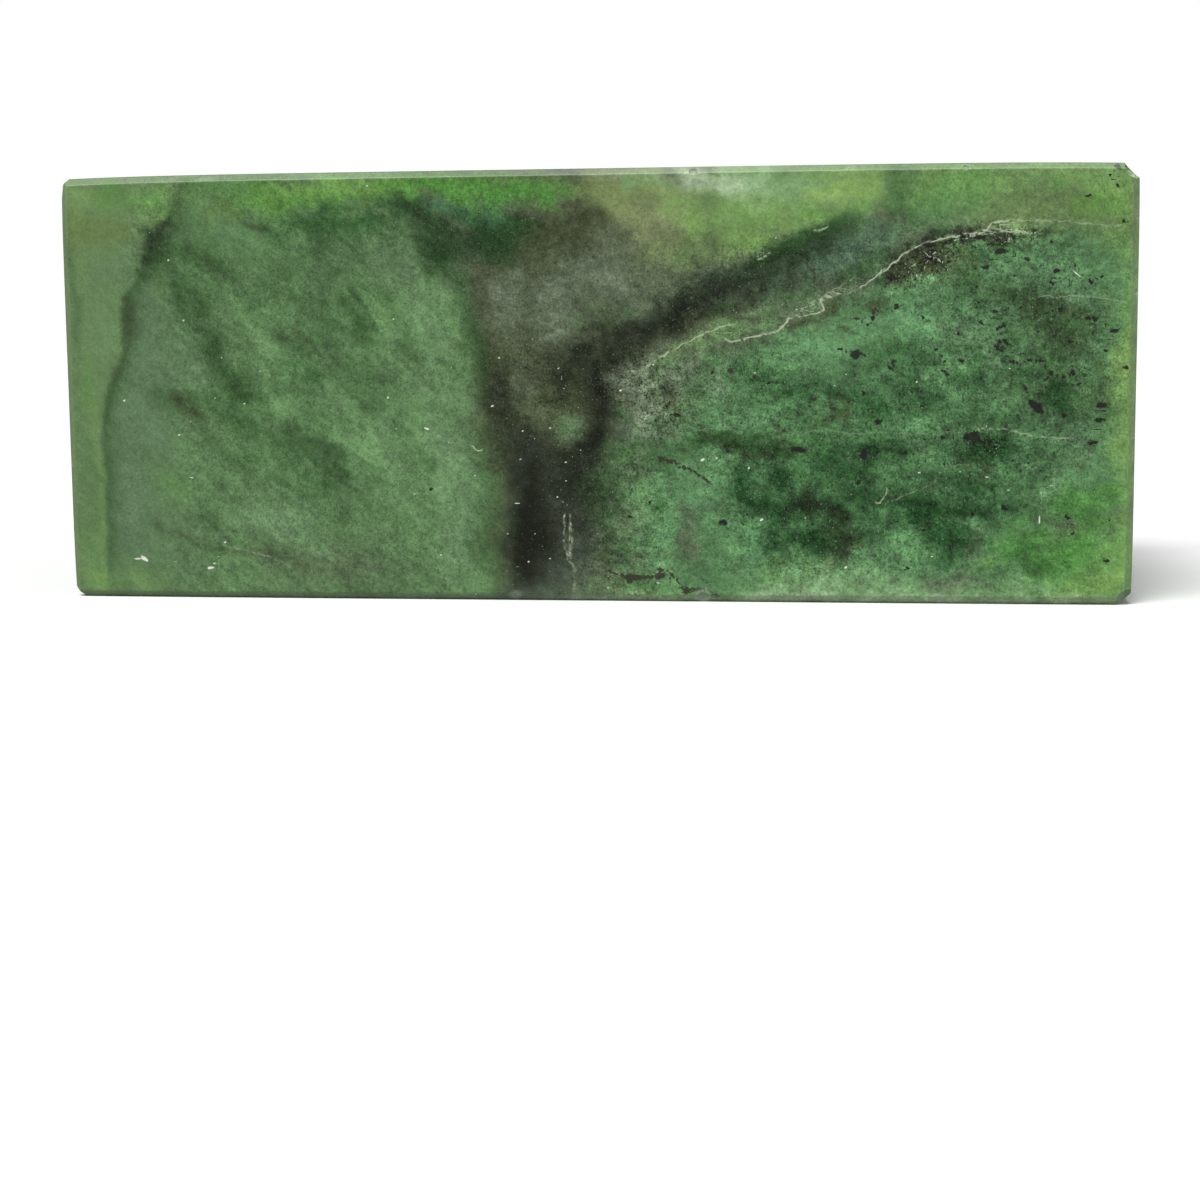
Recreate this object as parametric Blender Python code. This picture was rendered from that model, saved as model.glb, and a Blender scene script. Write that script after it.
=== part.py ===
# A block of nephrite jade, sawn square from a raw boulder, its faces lapped and its edges ground off.
# X runs along the length, Y from the front face to the back, Z up. The origin is on the face that
# the block rests on, under its middle. All sizes are in metres.

import math

import bmesh
import bpy
from mathutils import Euler, Matrix, Vector, noise

MM = 0.001

# Driving sizes of the sawn block
LENGTH = 150.5 * MM
DEPTH = 66.5 * MM
HEIGHT = 60.0 * MM
HALF = Vector((LENGTH / 2, DEPTH / 2, HEIGHT / 2))

# The left end was sawn slightly out of square, and is this much shorter at the foot than at the top
LEFT_END_LEAN = 0.35 * MM

# Hand lapping takes more off near the rims of a face. This is how far a face falls away towards
# each pair of its rims. The face that the block rests on is flat.
RIM_FALL = Vector((0.38, 0.10, 0.14)) * MM
RIM_SHARPNESS = 6
GRID_CELLS = (14, 6, 6)

# Edges ground off at 45 degrees: the direction the edge runs in, the side of the block it is on, and
# the width ground off each face at the edge's low and high end, in millimetres
CHAMFERS = {
    "top_front": ("X", (0, -1, 1), (1.00, 0.80)),
    "top_back": ("X", (0, 1, 1), (0.90, 1.05)),
    "bottom_front": ("X", (0, -1, -1), (0.85, 1.05)),
    "bottom_back": ("X", (0, 1, -1), (1.00, 0.90)),
    "top_left": ("Y", (-1, 0, 1), (1.10, 1.00)),
    "top_right": ("Y", (1, 0, 1), (1.95, 1.70)),
    "bottom_left": ("Y", (-1, 0, -1), (1.40, 1.20)),
    "bottom_right": ("Y", (1, 0, -1), (1.45, 1.60)),
    "left_front": ("Z", (-1, -1, 0), (0.85, 1.00)),
    "left_back": ("Z", (-1, 1, 0), (1.00, 1.10)),
    "right_front": ("Z", (1, -1, 0), (1.05, 0.95)),
    "right_back": ("Z", (1, 1, 0), (0.90, 1.00)),
}
AXES = {"X": 0, "Y": 1, "Z": 2}

# The top left edge was ground a second time, more steeply, down to this far below the top
SECOND_PASS_DROP = 2.6 * MM
SECOND_PASS_INSET = 0.45 * MM

# Chips broken out of the edges: the edge, the place along it from its middle, and the chip's width
# and depth, in millimetres
EDGE_CHIPS = (
    ("top_front", 15.2, 1.3, 0.45),
    ("top_front", 52.0, 0.9, 0.25),
    ("bottom_front", 16.5, 2.0, 0.45),
    ("bottom_front", 49.0, 1.2, 0.30),
    ("bottom_front", -9.9, 1.1, 0.25),
    ("right_front", 12.5, 1.0, 0.25),
    ("top_back", -37.0, 1.8, 0.45),
    ("top_back", 22.5, 1.2, 0.30),
    ("bottom_back", -12.0, 1.5, 0.40),
    ("bottom_back", 51.0, 2.2, 0.55),
    ("top_left", 9.0, 1.4, 0.35),
    ("bottom_left", -14.0, 1.6, 0.40),
    ("top_right", 16.0, 1.7, 0.45),
    ("left_back", 8.0, 1.5, 0.40),
    ("right_back", -11.0, 1.9, 0.50),
)
CHIP_OFF_CENTRE = 0.35 * MM

# Chips broken off the corners: which corner, and the chip's width and depth in millimetres. A corner
# chip starts this many chamfer widths below where the sawn corner was.
CORNER_CHIPS = (
    ((1, -1, -1), 2.2, 0.45),
    ((1, -1, 1), 1.8, 0.35),
    ((-1, 1, 1), 2.8, 0.70),
    ((1, 1, -1), 2.4, 0.60),
)
CORNER_LOSS = 1.35

# A break is shell-shaped: part of a ball that is slightly uneven
BALL_DETAIL = 3
BALL_UNEVENNESS = 0.05
BALL_LUMPS = 6.6

SHARP_ANGLE = math.radians(8)
ON_FACE = 1e-5


def clear_scene():
    for old in list(bpy.data.objects):
        bpy.data.objects.remove(old, do_unlink=True)


def jade_material():
    # Polished nephrite, mid green
    made = bpy.data.materials.new("nephrite")
    made.use_nodes = True
    shader = made.node_tree.nodes["Principled BSDF"]
    shader.inputs["Base Color"].default_value = (0.085, 0.200, 0.080, 1.0)
    shader.inputs["Roughness"].default_value = 0.28
    shader.inputs["Metallic"].default_value = 0.0
    shader.inputs["IOR"].default_value = 1.61
    return made


def all_geometry(bm):
    return bm.verts[:] + bm.edges[:] + bm.faces[:]


def cut_away(bm, point, normal):
    # Grinds off all that lies beyond a plane and closes the cut with one flat facet
    cut = bmesh.ops.bisect_plane(
        bm, geom=all_geometry(bm), plane_co=point, plane_no=normal, clear_outer=True, dist=1e-7
    )
    rim = [part for part in cut["geom_cut"] if isinstance(part, bmesh.types.BMEdge)]
    bmesh.ops.edgeloop_fill(bm, edges=rim)


def gridded_box(bm):
    # A box whose faces are divided in cells, so that they can be lapped to a slight crown
    bmesh.ops.create_cube(bm, size=1.0)
    bmesh.ops.scale(bm, vec=(LENGTH, DEPTH, HEIGHT), verts=bm.verts)
    for axis, cells in enumerate(GRID_CELLS):
        normal = Vector((0, 0, 0))
        normal[axis] = 1
        for step in range(1, cells):
            place = Vector((0, 0, 0))
            place[axis] = HALF[axis] * (2 * step / cells - 1)
            bmesh.ops.bisect_plane(bm, geom=all_geometry(bm), plane_co=place, plane_no=normal)


def lap_faces(bm):
    # Each face but the lowest falls away towards its rims
    for vert in bm.verts:
        share = Vector([vert.co[axis] / HALF[axis] for axis in range(3)])
        fall = [RIM_FALL[axis] * abs(share[axis]) ** RIM_SHARPNESS for axis in range(3)]
        moved = vert.co.copy()
        for axis in range(3):
            on_face = abs(abs(share[axis]) - 1) < ON_FACE
            resting = axis == 2 and share[axis] < 0
            if on_face and not resting:
                others = sum(fall) - fall[axis]
                moved[axis] -= math.copysign(others, share[axis])
        if share[0] < ON_FACE - 1:
            moved[0] += LEFT_END_LEAN * (1 - share[2]) / 2
        vert.co = moved


def edge_ends(run, side):
    # The two ends of one edge of the lapped block, low end first
    ends = []
    for way in (-1, 1):
        end = Vector([side[axis] * HALF[axis] for axis in range(3)])
        end[AXES[run]] = way * HALF[AXES[run]]
        ends.append(end + rim_loss(side))
    return ends


def rim_loss(side):
    # How far lapping has lowered each of the two faces that meet at an edge, at the edge's middle
    axes = [axis for axis in range(3) if side[axis]]
    loss = Vector((0, 0, 0))
    for face, other in (axes, axes[::-1]):
        resting = face == 2 and side[face] < 0
        loss[face] = 0 if resting else -side[face] * RIM_FALL[other]
    if side[0] < 0:
        loss[0] += LEFT_END_LEAN * (1 - side[2]) / 2
    return loss


def chamfer_plane(run, side, widths):
    # A plane through the two lines along which the ground facet leaves its two faces
    low, high = edge_ends(run, side)
    first, second = (axis for axis in range(3) if side[axis])
    down_first, down_second = Vector((0, 0, 0)), Vector((0, 0, 0))
    down_first[first] = -side[first] * MM
    down_second[second] = -side[second] * MM
    point = low + down_first * widths[0]
    along = high + down_first * widths[1] - point
    across = low + down_second * widths[0] - point
    normal = along.cross(across).normalized()
    return point, normal if normal.dot(Vector(side)) > 0 else -normal


def grind_edges(bm):
    for run, side, widths in CHAMFERS.values():
        cut_away(bm, *chamfer_plane(run, side, widths))
    foot = Vector((-HALF.x, 0, HALF.z - SECOND_PASS_DROP))
    slope = Vector((-SECOND_PASS_DROP, 0, SECOND_PASS_INSET)).normalized()
    cut_away(bm, foot, slope)


def ground_block():
    mesh = bpy.data.meshes.new("jade_block")
    bm = bmesh.new()
    gridded_box(bm)
    lap_faces(bm)
    grind_edges(bm)
    bmesh.ops.translate(bm, verts=bm.verts, vec=(0, 0, HALF.z))
    bmesh.ops.recalc_face_normals(bm, faces=bm.faces)
    bm.to_mesh(mesh)
    bm.free()
    return mesh


def edge_chip_place(edge, along):
    # A point on an edge's ground facet, off its centre line, and the way the facet looks
    run, side, widths = CHAMFERS[edge]
    point, normal = chamfer_plane(run, side, widths)
    low, high = edge_ends(run, side)
    spot = (low + high) / 2 + (high - low).normalized() * along * MM
    spot -= normal * (spot - point).dot(normal)
    face = Vector(side)
    face[2 if side[2] else 1] = 0
    towards_face = face - normal * face.dot(normal)
    return spot + towards_face.normalized() * CHIP_OFF_CENTRE, normal


def corner_chip_place(corner):
    # A point just under a ground corner, and the way out from it
    normal = Vector(corner).normalized()
    widths = [
        max(widths)
        for _, side, widths in CHAMFERS.values()
        if sum(one * other for one, other in zip(side, corner)) == 2
    ]
    sawn = Vector([corner[axis] * HALF[axis] for axis in range(3)])
    return sawn - normal * max(widths) * MM * CORNER_LOSS, normal


def add_scoop(bm, surface, outward, width, depth, turn):
    # A shallow bite out of the block is the low end of a much larger ball
    radius = (width**2 / 4 + depth**2) / (2 * depth)
    made = bmesh.ops.create_icosphere(bm, subdivisions=BALL_DETAIL, radius=radius)["verts"]
    spin = Euler((turn, turn * 1.7, turn * 0.6)).to_matrix()
    for vert in made:
        vert.co = spin @ vert.co
        lump = noise.noise(vert.co.normalized() * BALL_LUMPS + Vector((turn, 0, 0)))
        vert.co *= 1 + BALL_UNEVENNESS * lump
    centre = surface + outward * (radius - depth)
    bmesh.ops.transform(bm, matrix=Matrix.Translation(centre), verts=made)


def chip_cutters():
    places = [(*edge_chip_place(edge, along), w, d) for edge, along, w, d in EDGE_CHIPS]
    places += [(*corner_chip_place(corner), w, d) for corner, w, d in CORNER_CHIPS]
    mesh = bpy.data.meshes.new("chip_cutters")
    bm = bmesh.new()
    for count, (spot, normal, width, depth) in enumerate(places):
        add_scoop(bm, spot, normal, width * MM, depth * MM, turn=0.9 * count + 0.4)
    bmesh.ops.translate(bm, verts=bm.verts, vec=(0, 0, HALF.z))
    bm.to_mesh(mesh)
    bm.free()
    cutters = bpy.data.objects.new("chip_cutters", mesh)
    bpy.context.scene.collection.objects.link(cutters)
    cutters.hide_render = True
    cutters.display_type = "WIRE"
    return cutters


def jade_block():
    block = bpy.data.objects.new("jade_block", ground_block())
    bpy.context.scene.collection.objects.link(block)
    block.data.materials.append(jade_material())
    block.data.shade_smooth()
    block.data.set_sharp_from_angle(angle=SHARP_ANGLE)
    broken = block.modifiers.new("broken_edges", "BOOLEAN")
    broken.operation = "DIFFERENCE"
    broken.solver = "EXACT"
    broken.object = chip_cutters()
    even = block.modifiers.new("even_shading", "WEIGHTED_NORMAL")
    even.keep_sharp = True
    return block


clear_scene()
jade_block()
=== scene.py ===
# A sawn and polished block of nephrite jade on a white table

import math

import bmesh
import bpy
import numpy as np
from mathutils import Euler, Matrix, Vector, noise


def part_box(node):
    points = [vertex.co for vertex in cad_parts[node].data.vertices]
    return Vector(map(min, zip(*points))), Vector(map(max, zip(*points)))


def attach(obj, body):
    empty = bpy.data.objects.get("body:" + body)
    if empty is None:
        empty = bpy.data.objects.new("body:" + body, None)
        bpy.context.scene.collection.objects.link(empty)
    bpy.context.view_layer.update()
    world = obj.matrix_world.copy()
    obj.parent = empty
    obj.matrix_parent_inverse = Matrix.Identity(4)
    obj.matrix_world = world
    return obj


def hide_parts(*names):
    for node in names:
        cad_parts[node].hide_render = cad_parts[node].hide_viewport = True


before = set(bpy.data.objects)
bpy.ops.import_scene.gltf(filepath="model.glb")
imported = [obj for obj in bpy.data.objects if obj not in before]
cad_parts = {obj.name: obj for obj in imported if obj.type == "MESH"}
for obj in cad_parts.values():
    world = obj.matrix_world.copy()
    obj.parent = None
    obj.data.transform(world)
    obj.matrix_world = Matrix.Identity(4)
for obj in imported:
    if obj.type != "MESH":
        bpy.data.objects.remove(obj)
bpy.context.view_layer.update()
scene = bpy.context.scene
mm = 0.001

low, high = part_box("jade_block")
half = Vector((high.x, high.y, (high.z - low.z) / 2))  # the sawn block, before its faces were lapped
print("block", [round(side / mm, 1) for side in high - low], "mm")


def addNode(tree, kind, take, links=(), label="", **settings):
    # links are the node's inputs, in order or by name, each a value or another node's output; settings
    # are its own properties; take is the output that is given back
    node = tree.nodes.new("ShaderNode" + kind)
    node.label = label
    for name, value in settings.items():
        setattr(node, name, value)
    for name, value in links.items() if isinstance(links, dict) else enumerate(links):
        socket = node.inputs[name]
        if isinstance(value, bpy.types.NodeSocket):
            tree.links.new(value, socket)
        else:
            socket.default_value = value
    return node.outputs[take]


def fromHex(code):
    return np.array([int(code[k:k + 2], 16) for k in (1, 3, 5)]) / 255


def toLinear(seen):
    seen = np.clip(seen, 0, 1)
    return np.where(seen <= 0.04045, seen / 12.92, ((seen + 0.055) / 1.055) ** 2.4)


def ease(start, end, value):
    t = np.clip((value - start) / (end - start), 0, 1)
    return t * t * (3 - 2 * t)


def latticeNoise(points, seed):
    # gradient noise on a unit lattice
    rng = np.random.default_rng(seed)
    order = np.tile(rng.permutation(256), 3)
    slopes = rng.normal(size=(256, 3)).astype(np.float32)
    slopes = slopes / np.linalg.norm(slopes, axis=1)[:, None]
    slopes = np.ascontiguousarray(slopes[order[:256]].T)
    cell = np.floor(points).astype(np.int32)
    inside = (points - cell).astype(np.float32).T
    cell = (cell & 255).T
    share = inside ** 3 * (inside * (inside * 6 - 15) + 10)
    total = np.zeros(len(points), np.float32)
    for stepX in (0, 1):
        rowX = order[cell[0] + stepX]
        partX = share[0] if stepX else 1 - share[0]
        for stepY in (0, 1):
            rowY = order[rowX + cell[1] + stepY]
            partY = partX * (share[1] if stepY else 1 - share[1])
            for stepZ in (0, 1):
                pick = (rowY + cell[2] + stepZ) & 255
                slope = slopes[:, pick]
                lean = (slope[0] * (inside[0] - stepX) + slope[1] * (inside[1] - stepY)
                        + slope[2] * (inside[2] - stepZ))
                total += partY * (share[2] if stepZ else 1 - share[2]) * lean
    return total * 1.5  # brings it to about -1 to 1


def cloud(points, size, octaves=4, seed=0, rough=0.5):
    # layered noise whose largest lumps are about this many mm wide, with a spread of about 1
    total, reach = 0, 0
    for octave in range(octaves):
        scale = rough ** octave
        total = total + scale * latticeNoise(points / size * 2 ** octave + octave * 7.3, seed + octave)
        reach += scale ** 2
    return total / reach ** 0.5 * 2.4  # brings the spread to about 1


def lineReach(curve, x, z):
    # distance from a line on the face, positive on its right, and how far along the nearest place is
    best = np.full(len(x), 1e9)
    side, along = np.zeros(len(x)), np.zeros(len(x))
    lengths = [math.dist(a, b) for a, b in zip(curve[:-1], curve[1:])]
    run = 0
    for (x0, z0), (x1, z1), length in zip(curve[:-1], curve[1:], lengths):
        dx, dz = x1 - x0, z1 - z0
        t = np.clip(((x - x0) * dx + (z - z0) * dz) / length ** 2, 0, 1)
        off = np.hypot(x - x0 - t * dx, z - z0 - t * dz)
        near = off < best - 1e-9
        best = np.where(near, off, best)
        side = np.where(near, np.sign(dx * (z - z0) - dz * (x - x0)), side)
        along = np.where(near, (run + t * length) / sum(lengths), along)
        run += length
    return best * side, along


def strokeReach(points, x, z):
    # distance from a brush stroke's rim, negative inside it
    if len(points) == 1:
        return np.hypot(x - points[0][0], z - points[0][1]) - points[0][2]
    best = np.full(len(x), 1e9)
    for (x0, z0, r0), (x1, z1, r1) in zip(points[:-1], points[1:]):
        dx, dz = x1 - x0, z1 - z0
        t = np.clip(((x - x0) * dx + (z - z0) * dz) / (dx * dx + dz * dz), 0, 1)
        best = np.minimum(best, np.hypot(x - x0 - t * dx, z - z0 - t * dz) - r0 - t * (r1 - r0))
    return best


def soft(colour, strength, softness, *points):
    # a soft stroke through points (x, z, half width), all in mm on the front face
    return {"kind": "soft", "colour": colour, "strength": strength, "softness": softness, "points": points}


def patchy(colour, strength, cover, size, softness, *points):
    # a stroke broken up in blotches of about this size in mm, which cover this share of it
    stroke = soft(colour, strength, softness, *points)
    return {**stroke, "kind": "patchy", "cover": cover, "size": size}


def beyond(curve, colour, strength, softness, side):
    # everything on one side of a line: 1 is its right, -1 its left
    return {"kind": "beyond", "colour": colour, "strength": strength, "softness": softness,
            "curve": curve, "side": side}


def fading(curve, colour, sharpness, width, *levels):
    # sharp along a line and fading out to its right; levels are (share of the way along, strength)
    return {"kind": "fading", "colour": colour, "softness": sharpness, "width": width,
            "curve": curve, "levels": levels}


# glow, lime, foot and mint at the edges are painted light: light through the thin edges and on the foot
palette = {
    "moss": "#5a7a4f", "mossLight": "#688e5a", "sage": "#6b8c62", "celadon": "#5f7b59",
    "mossDark": "#416239", "mossDeep": "#314e29", "strip": "#648153", "olive": "#667a42",
    "leaf": "#588c3a", "lime": "#89ad5a", "leafDeep": "#32592b", "bottle": "#254220", "ash": "#566149",
    "ashPale": "#707e67", "peat": "#3d462b", "night": "#1a1f16", "pitch": "#252c1d", "sand": "#889462",
    "ochre": "#8a8a4a", "paintedGlow": "#b9cfac", "emerald": "#588254", "emeraldLight": "#649463",
    "emeraldMid": "#3c6339", "emeraldDark": "#1f4420", "slate": "#2e3f2a", "coal": "#2f3529",
    "smoke": "#4a5746", "speckled": "#3f6b45", "slateLight": "#4d6d52", "taupe": "#56664a",
    "mint": "#83a876", "vivid": "#4b8836", "fern": "#5b8c4c", "grass": "#719a50", "reed": "#6c8e54",
    "fieldDark": "#476543", "foot": "#a9bd9b", "beige": "#6b8263",
}
# lines on the front face, (x, z) in mm
seam = (
    (-57, 61), (-58.4, 58), (-59.4, 56), (-60.3, 53.8), (-61.6, 52.8), (-62.6, 51), (-63, 49.4), (-63.8, 47),
    (-65.2, 45), (-66.7, 43.4), (-67.4, 41), (-67.5, 38), (-67.1, 35.4), (-67.7, 33.4), (-69.2, 30),
    (-70, 26), (-70.3, 20), (-70.4, 10), (-70.5, -2),
)
greenEdge = (
    (-27, 62), (-25.5, 56), (-22.6, 51), (-20.5, 46), (-18.3, 41), (-16.4, 36.5), (-15, 31), (-14, 26),
    (-12.8, 20), (-12, 13), (-11.6, 5), (-11.2, -2),
)
pattern = [
    # the ground colour of each part of the face
    beyond(greenEdge, "ash", 1, 2.6, 1),
    soft("fern", 1, 3, (6, 0, 2), (20, 0, 3.4), (34, 0, 4.6), (50, 1, 5), (66, 3, 6), (78, 4, 7)),
    soft("emerald", 1, 5, (12, 8, 5), (13, 18, 5), (20, 22, 8), (27, 26, 9), (36, 28, 11), (46, 30, 14),
         (58, 30, 18), (76, 30, 18)),
    soft("emerald", 1, 3.4, (11, 7, 4), (18, 8, 6), (27, 8, 6), (38, 8, 6), (48, 8, 6), (57, 10, 6)),
    soft("emerald", 1, 3, (20, 31, 2.4), (30, 35, 2.6), (37, 38.6, 3), (44, 42.4, 2.6), (52, 46, 3),
         (60, 48, 3), (70, 48, 3)),
    soft("emeraldMid", 0.85, 6, (26, 15, 5), (34, 17, 8), (44, 17, 8), (54, 18, 8), (62, 21, 4)),
    soft("fieldDark", 0.8, 6, (60, 42, 4), (64, 36, 7), (66, 30, 7)),
    soft("reed", 1, 4, (24, 59, 5), (38, 59.5, 6), (50, 60, 7.5), (64, 60, 8), (78, 58, 8)),
    soft("fern", 0.7, 3, (44, 54, 1.6), (50, 56, 2.4), (54, 57, 2)),
    soft("olive", 0.25, 4, (58, 54, 1.6), (66, 53, 2.4), (74, 52, 2)),
    soft("celadon", 0.5, 6, (-66, 40, 4), (-64, 20, 5), (-62, 6, 5)),
    soft("leaf", 0.5, 3.4, (-56, 58.6, 0.6), (-50, 58, 1.2), (-44, 57, 2)),
    patchy("mossLight", 0.5, 0.5, 7, 8, (-52, 50, 5), (-48, 14, 8), (-24, 34, 8), (-22, 10, 9)),
    patchy("mossDark", 0.5, 0.5, 7, 7, (-54, 46, 8), (-48, 32, 10), (-40, 24, 8), (-34, 38, 8),
           (-34, 18, 6)),
    # left end: the strip beyond the seam, partly painted light; the lime at the corners is painted light
    beyond(seam, "strip", 1, 0.55, -1),
    soft("lime", 0.3, 3, (-74, 57.5, 1), (-72, 56.5, 1)),
    soft("leaf", 0.5, 2.4, (-69, 57.5, 1), (-66, 56.8, 1.4), (-62, 57, 1.2), (-61, 55, 0.5)),
    soft("olive", 0.75, 3, (-73.5, 53, 1.6), (-70, 52, 1), (-67, 51.6, 0.4)),
    soft("celadon", 0.65, 3, (-69, 47, 1.4), (-67, 46.6, 1), (-65.4, 48.6, 0.6)),
    soft("mossDark", 0.45, 1, (-74.6, 51, 0.3), (-74.2, 42, 0.5), (-74.6, 34, 0.2)),
    soft("sage", 0.5, 1.6, (-71, 42, 0.8), (-70.6, 38, 1.4), (-71, 34, 1)),
    soft("leaf", 0.35, 1.2, (-72.6, 34, 0.2), (-72, 30, 0.5), (-71.8, 27, 0.5)),
    soft("moss", 0.6, 1.4, (-73.4, 26, 0.6), (-73, 18, 1), (-73.6, 10, 1)),
    soft("mossDark", 0.35, 1.2, (-72, 22, 0.3), (-71.6, 15, 0.4), (-71.6, 10, 0.2)),
    soft("grass", 0.3, 0.9, (-71, 29, 0.2), (-70.9, 20, 0.3), (-71.2, 10, 0.4), (-71.4, -1, 0.8)),
    soft("fern", 0.3, 1.6, (-73.4, 9, 0.8), (-72.6, 2, 1)),
    soft("lime", 0.3, 1.6, (-73.6, 4, 0.6), (-72, 1.5, 1)),
    # dark seam
    fading(seam, "mossDeep", 0.5, 2.4, (0, 0.55), (0.1, 0.7), (0.2, 0.92), (0.36, 0.92), (0.5, 0.9),
           (0.6, 0.88), (0.7, 0.8), (0.85, 0.6), (1, 0.25)),
    soft("mossDeep", 0.85, 1.8, (-60.8, 52.6, 0.5), (-61.6, 50.6, 1.3), (-61.8, 48.4, 1),
         (-63, 46.8, 0.4)),
    patchy("pitch", 0.5, 0.6, 1.8, 1.4, (-60.6, 53.2, 0.4), (-61.8, 51.6, 0.7), (-62.4, 49.4, 0.7),
           (-62.6, 47.6, 0.4)),
    soft("pitch", 0.5, 0.6, (-60.2, 53.3, 0.2), (-61.2, 52.9, 0.2)),
    soft("peat", 0.5, 1.1, (-66.6, 42, 0.5), (-66.8, 39, 0.6), (-66.6, 35.6, 0.4), (-68.4, 31, 0.5)),
    soft("celadon", 0.75, 2.5, (-63, 43.4, 0.8), (-63.4, 38, 1.8), (-64, 33, 2), (-62, 29, 3),
         (-66, 22, 2), (-67.5, 14, 1.6), (-67, 8, 1.6)),
    soft("celadon", 0.6, 2.5, (-58.4, 36, 1), (-57, 32, 1.8), (-54, 31, 0.8)),
    # left half
    soft("moss", 0.6, 3.5, (-58, 22, 3), (-55, 16, 4)),
    soft("emerald", 0.45, 3, (-52, 51.6, 1.4), (-48, 49.6, 1)),
    soft("grass", 0.25, 3, (-55, 55.8, 1.6), (-57, 57, 1)),
    soft("leaf", 0.3, 2.4, (-63, 17.6, 0.8), (-60, 16, 1), (-58.4, 15, 0.6)),
    soft("sage", 0.75, 3, (-50, 11.6, 1.4), (-45, 11.4, 2), (-41.6, 11, 1.2)),
    soft("sage", 0.6, 2.4, (-41.4, 7.6, 1), (-38.6, 7.8, 1)),
    soft("mossLight", 0.7, 3.4, (-30, 41, 1.6), (-25, 41, 2), (-21.6, 37, 2.4), (-19.6, 34, 2)),
    patchy("sage", 0.6, 0.6, 4, 3, (-24, 41.4, 2), (-20.6, 36.6, 2), (-23, 30, 2), (-19, 28, 1.6)),
    soft("sage", 0.75, 3.2, (-19, 23, 1.6), (-18.6, 17, 2), (-17.4, 11.6, 1.4), (-19, 6, 1.6)),
    patchy("mossLight", 0.8, 0.6, 4, 3.4, (-33, 22, 2.4), (-29, 20.6, 2.6), (-26, 15.6, 2.4),
           (-30, 11, 2)),
    patchy("sage", 0.55, 0.55, 2.6, 2.4, (-28, 25, 1), (-27, 14.4, 1.4), (-33.4, 17.4, 1)),
    patchy("mossLight", 0.7, 0.6, 4, 2.6, (-50, 42.4, 1), (-47, 39.6, 1.6), (-45.6, 35.6, 1.6),
           (-43, 33, 1)),
    patchy("mossLight", 0.7, 0.6, 4, 2.4, (-43, 27, 1.4), (-40.6, 25.6, 1), (-36.6, 24.6, 1)),
    soft("celadon", 0.7, 2.2, (-30, 49, 0.8), (-28, 47.4, 1.2), (-25.4, 46.6, 0.8)),
    patchy("mossDark", 0.85, 0.62, 2.6, 2.6, (-59.4, 46, 1), (-59, 42, 1.2), (-56.6, 40.6, 1.4),
           (-55, 37, 1.8), (-53, 33.8, 1.6), (-51, 31.6, 1.6), (-49, 29, 1.8)),
    patchy("mossDeep", 0.85, 0.6, 1.8, 1.6, (-55.6, 43.4, 0.6), (-55.2, 41.4, 0.8), (-54.6, 39.6, 0.5)),
    patchy("mossDeep", 0.65, 0.6, 1.8, 1.6, (-54, 37.4, 0.6), (-54, 35.4, 0.7), (-52.4, 33.4, 0.8)),
    patchy("mossDeep", 0.95, 0.75, 1.8, 1.6, (-51, 31.6, 0.5), (-49.6, 30, 1), (-49, 28.6, 0.9)),
    patchy("mossDark", 0.85, 0.66, 2.6, 1.8, (-57.6, 50.2, 0.5), (-55.2, 49.4, 1), (-53.4, 47.6, 0.7),
           (-51, 46.6, 0.9)),
    patchy("peat", 0.5, 0.6, 1.8, 1.4, (-56, 49.8, 0.6), (-54, 48.6, 0.7), (-51, 46.6, 0.7)),
    patchy("mossDark", 0.6, 0.55, 2.6, 2, (-49, 47, 0.8), (-45.6, 46.8, 0.7), (-43.6, 46.6, 0.6),
           (-42, 44, 0.7)),
    patchy("mossDark", 0.6, 0.55, 2.6, 2, (-48.6, 42.6, 0.6), (-44.6, 39.6, 0.7), (-41, 42, 0.6)),
    soft("mossDark", 0.6, 2, (-61, 28.4, 0.6), (-58, 28.8, 1.1), (-55, 28.2, 1), (-52.6, 28.6, 0.5)),
    soft("peat", 0.75, 1.6, (-58.6, 29, 0.3), (-57, 27.8, 0.6), (-56.2, 26.4, 0.7), (-55.6, 25.2, 0.3)),
    soft("mossDark", 0.65, 1.8, (-55.4, 25, 0.4), (-54, 22.6, 0.7), (-53, 20, 0.6)),
    patchy("mossDark", 0.95, 0.68, 2.6, 2.6, (-50.6, 26, 0.8), (-46, 23, 1.6), (-43.4, 22.4, 1.8),
           (-40, 23.6, 1.2), (-38.4, 22, 1.2)),
    patchy("peat", 0.55, 0.6, 1.8, 1.8, (-44, 22.2, 1.2), (-41.6, 23.6, 1), (-39.4, 22.4, 0.9)),
    patchy("mossDeep", 0.9, 0.66, 1.8, 2, (-42, 23.6, 0.8), (-39, 22.4, 0.9), (-37.4, 20.6, 1),
           (-37, 18.6, 1.1)),
    patchy("leafDeep", 0.6, 0.6, 1.8, 2, (-41, 19.6, 1), (-38, 16.6, 1.2), (-36, 18.4, 0.8)),
    patchy("mossDark", 0.75, 0.62, 2.6, 2, (-52, 20, 0.8), (-50, 19.6, 1.1), (-48, 20.4, 0.8)),
    patchy("mossDark", 0.6, 0.6, 2.6, 2, (-46, 17.6, 0.8), (-43, 16.4, 0.8), (-40, 15, 0.7)),
    patchy("mossDark", 0.9, 0.7, 1.8, 1.7, (-33.6, 43, 0.6), (-31, 43.8, 0.7), (-28.6, 43.4, 0.6)),
    patchy("mossDeep", 0.85, 0.7, 1.8, 1.8, (-33, 42, 0.8), (-32.6, 40, 0.9), (-32, 38.2, 0.6)),
    patchy("mossDark", 0.75, 0.6, 2.6, 2, (-37, 38.4, 0.8), (-35, 37.4, 0.9), (-32.6, 37, 0.6)),
    patchy("mossDark", 0.8, 0.62, 2.6, 1.8, (-44, 38.6, 0.8), (-42, 37.6, 0.8), (-39.6, 36, 0.7)),
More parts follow.
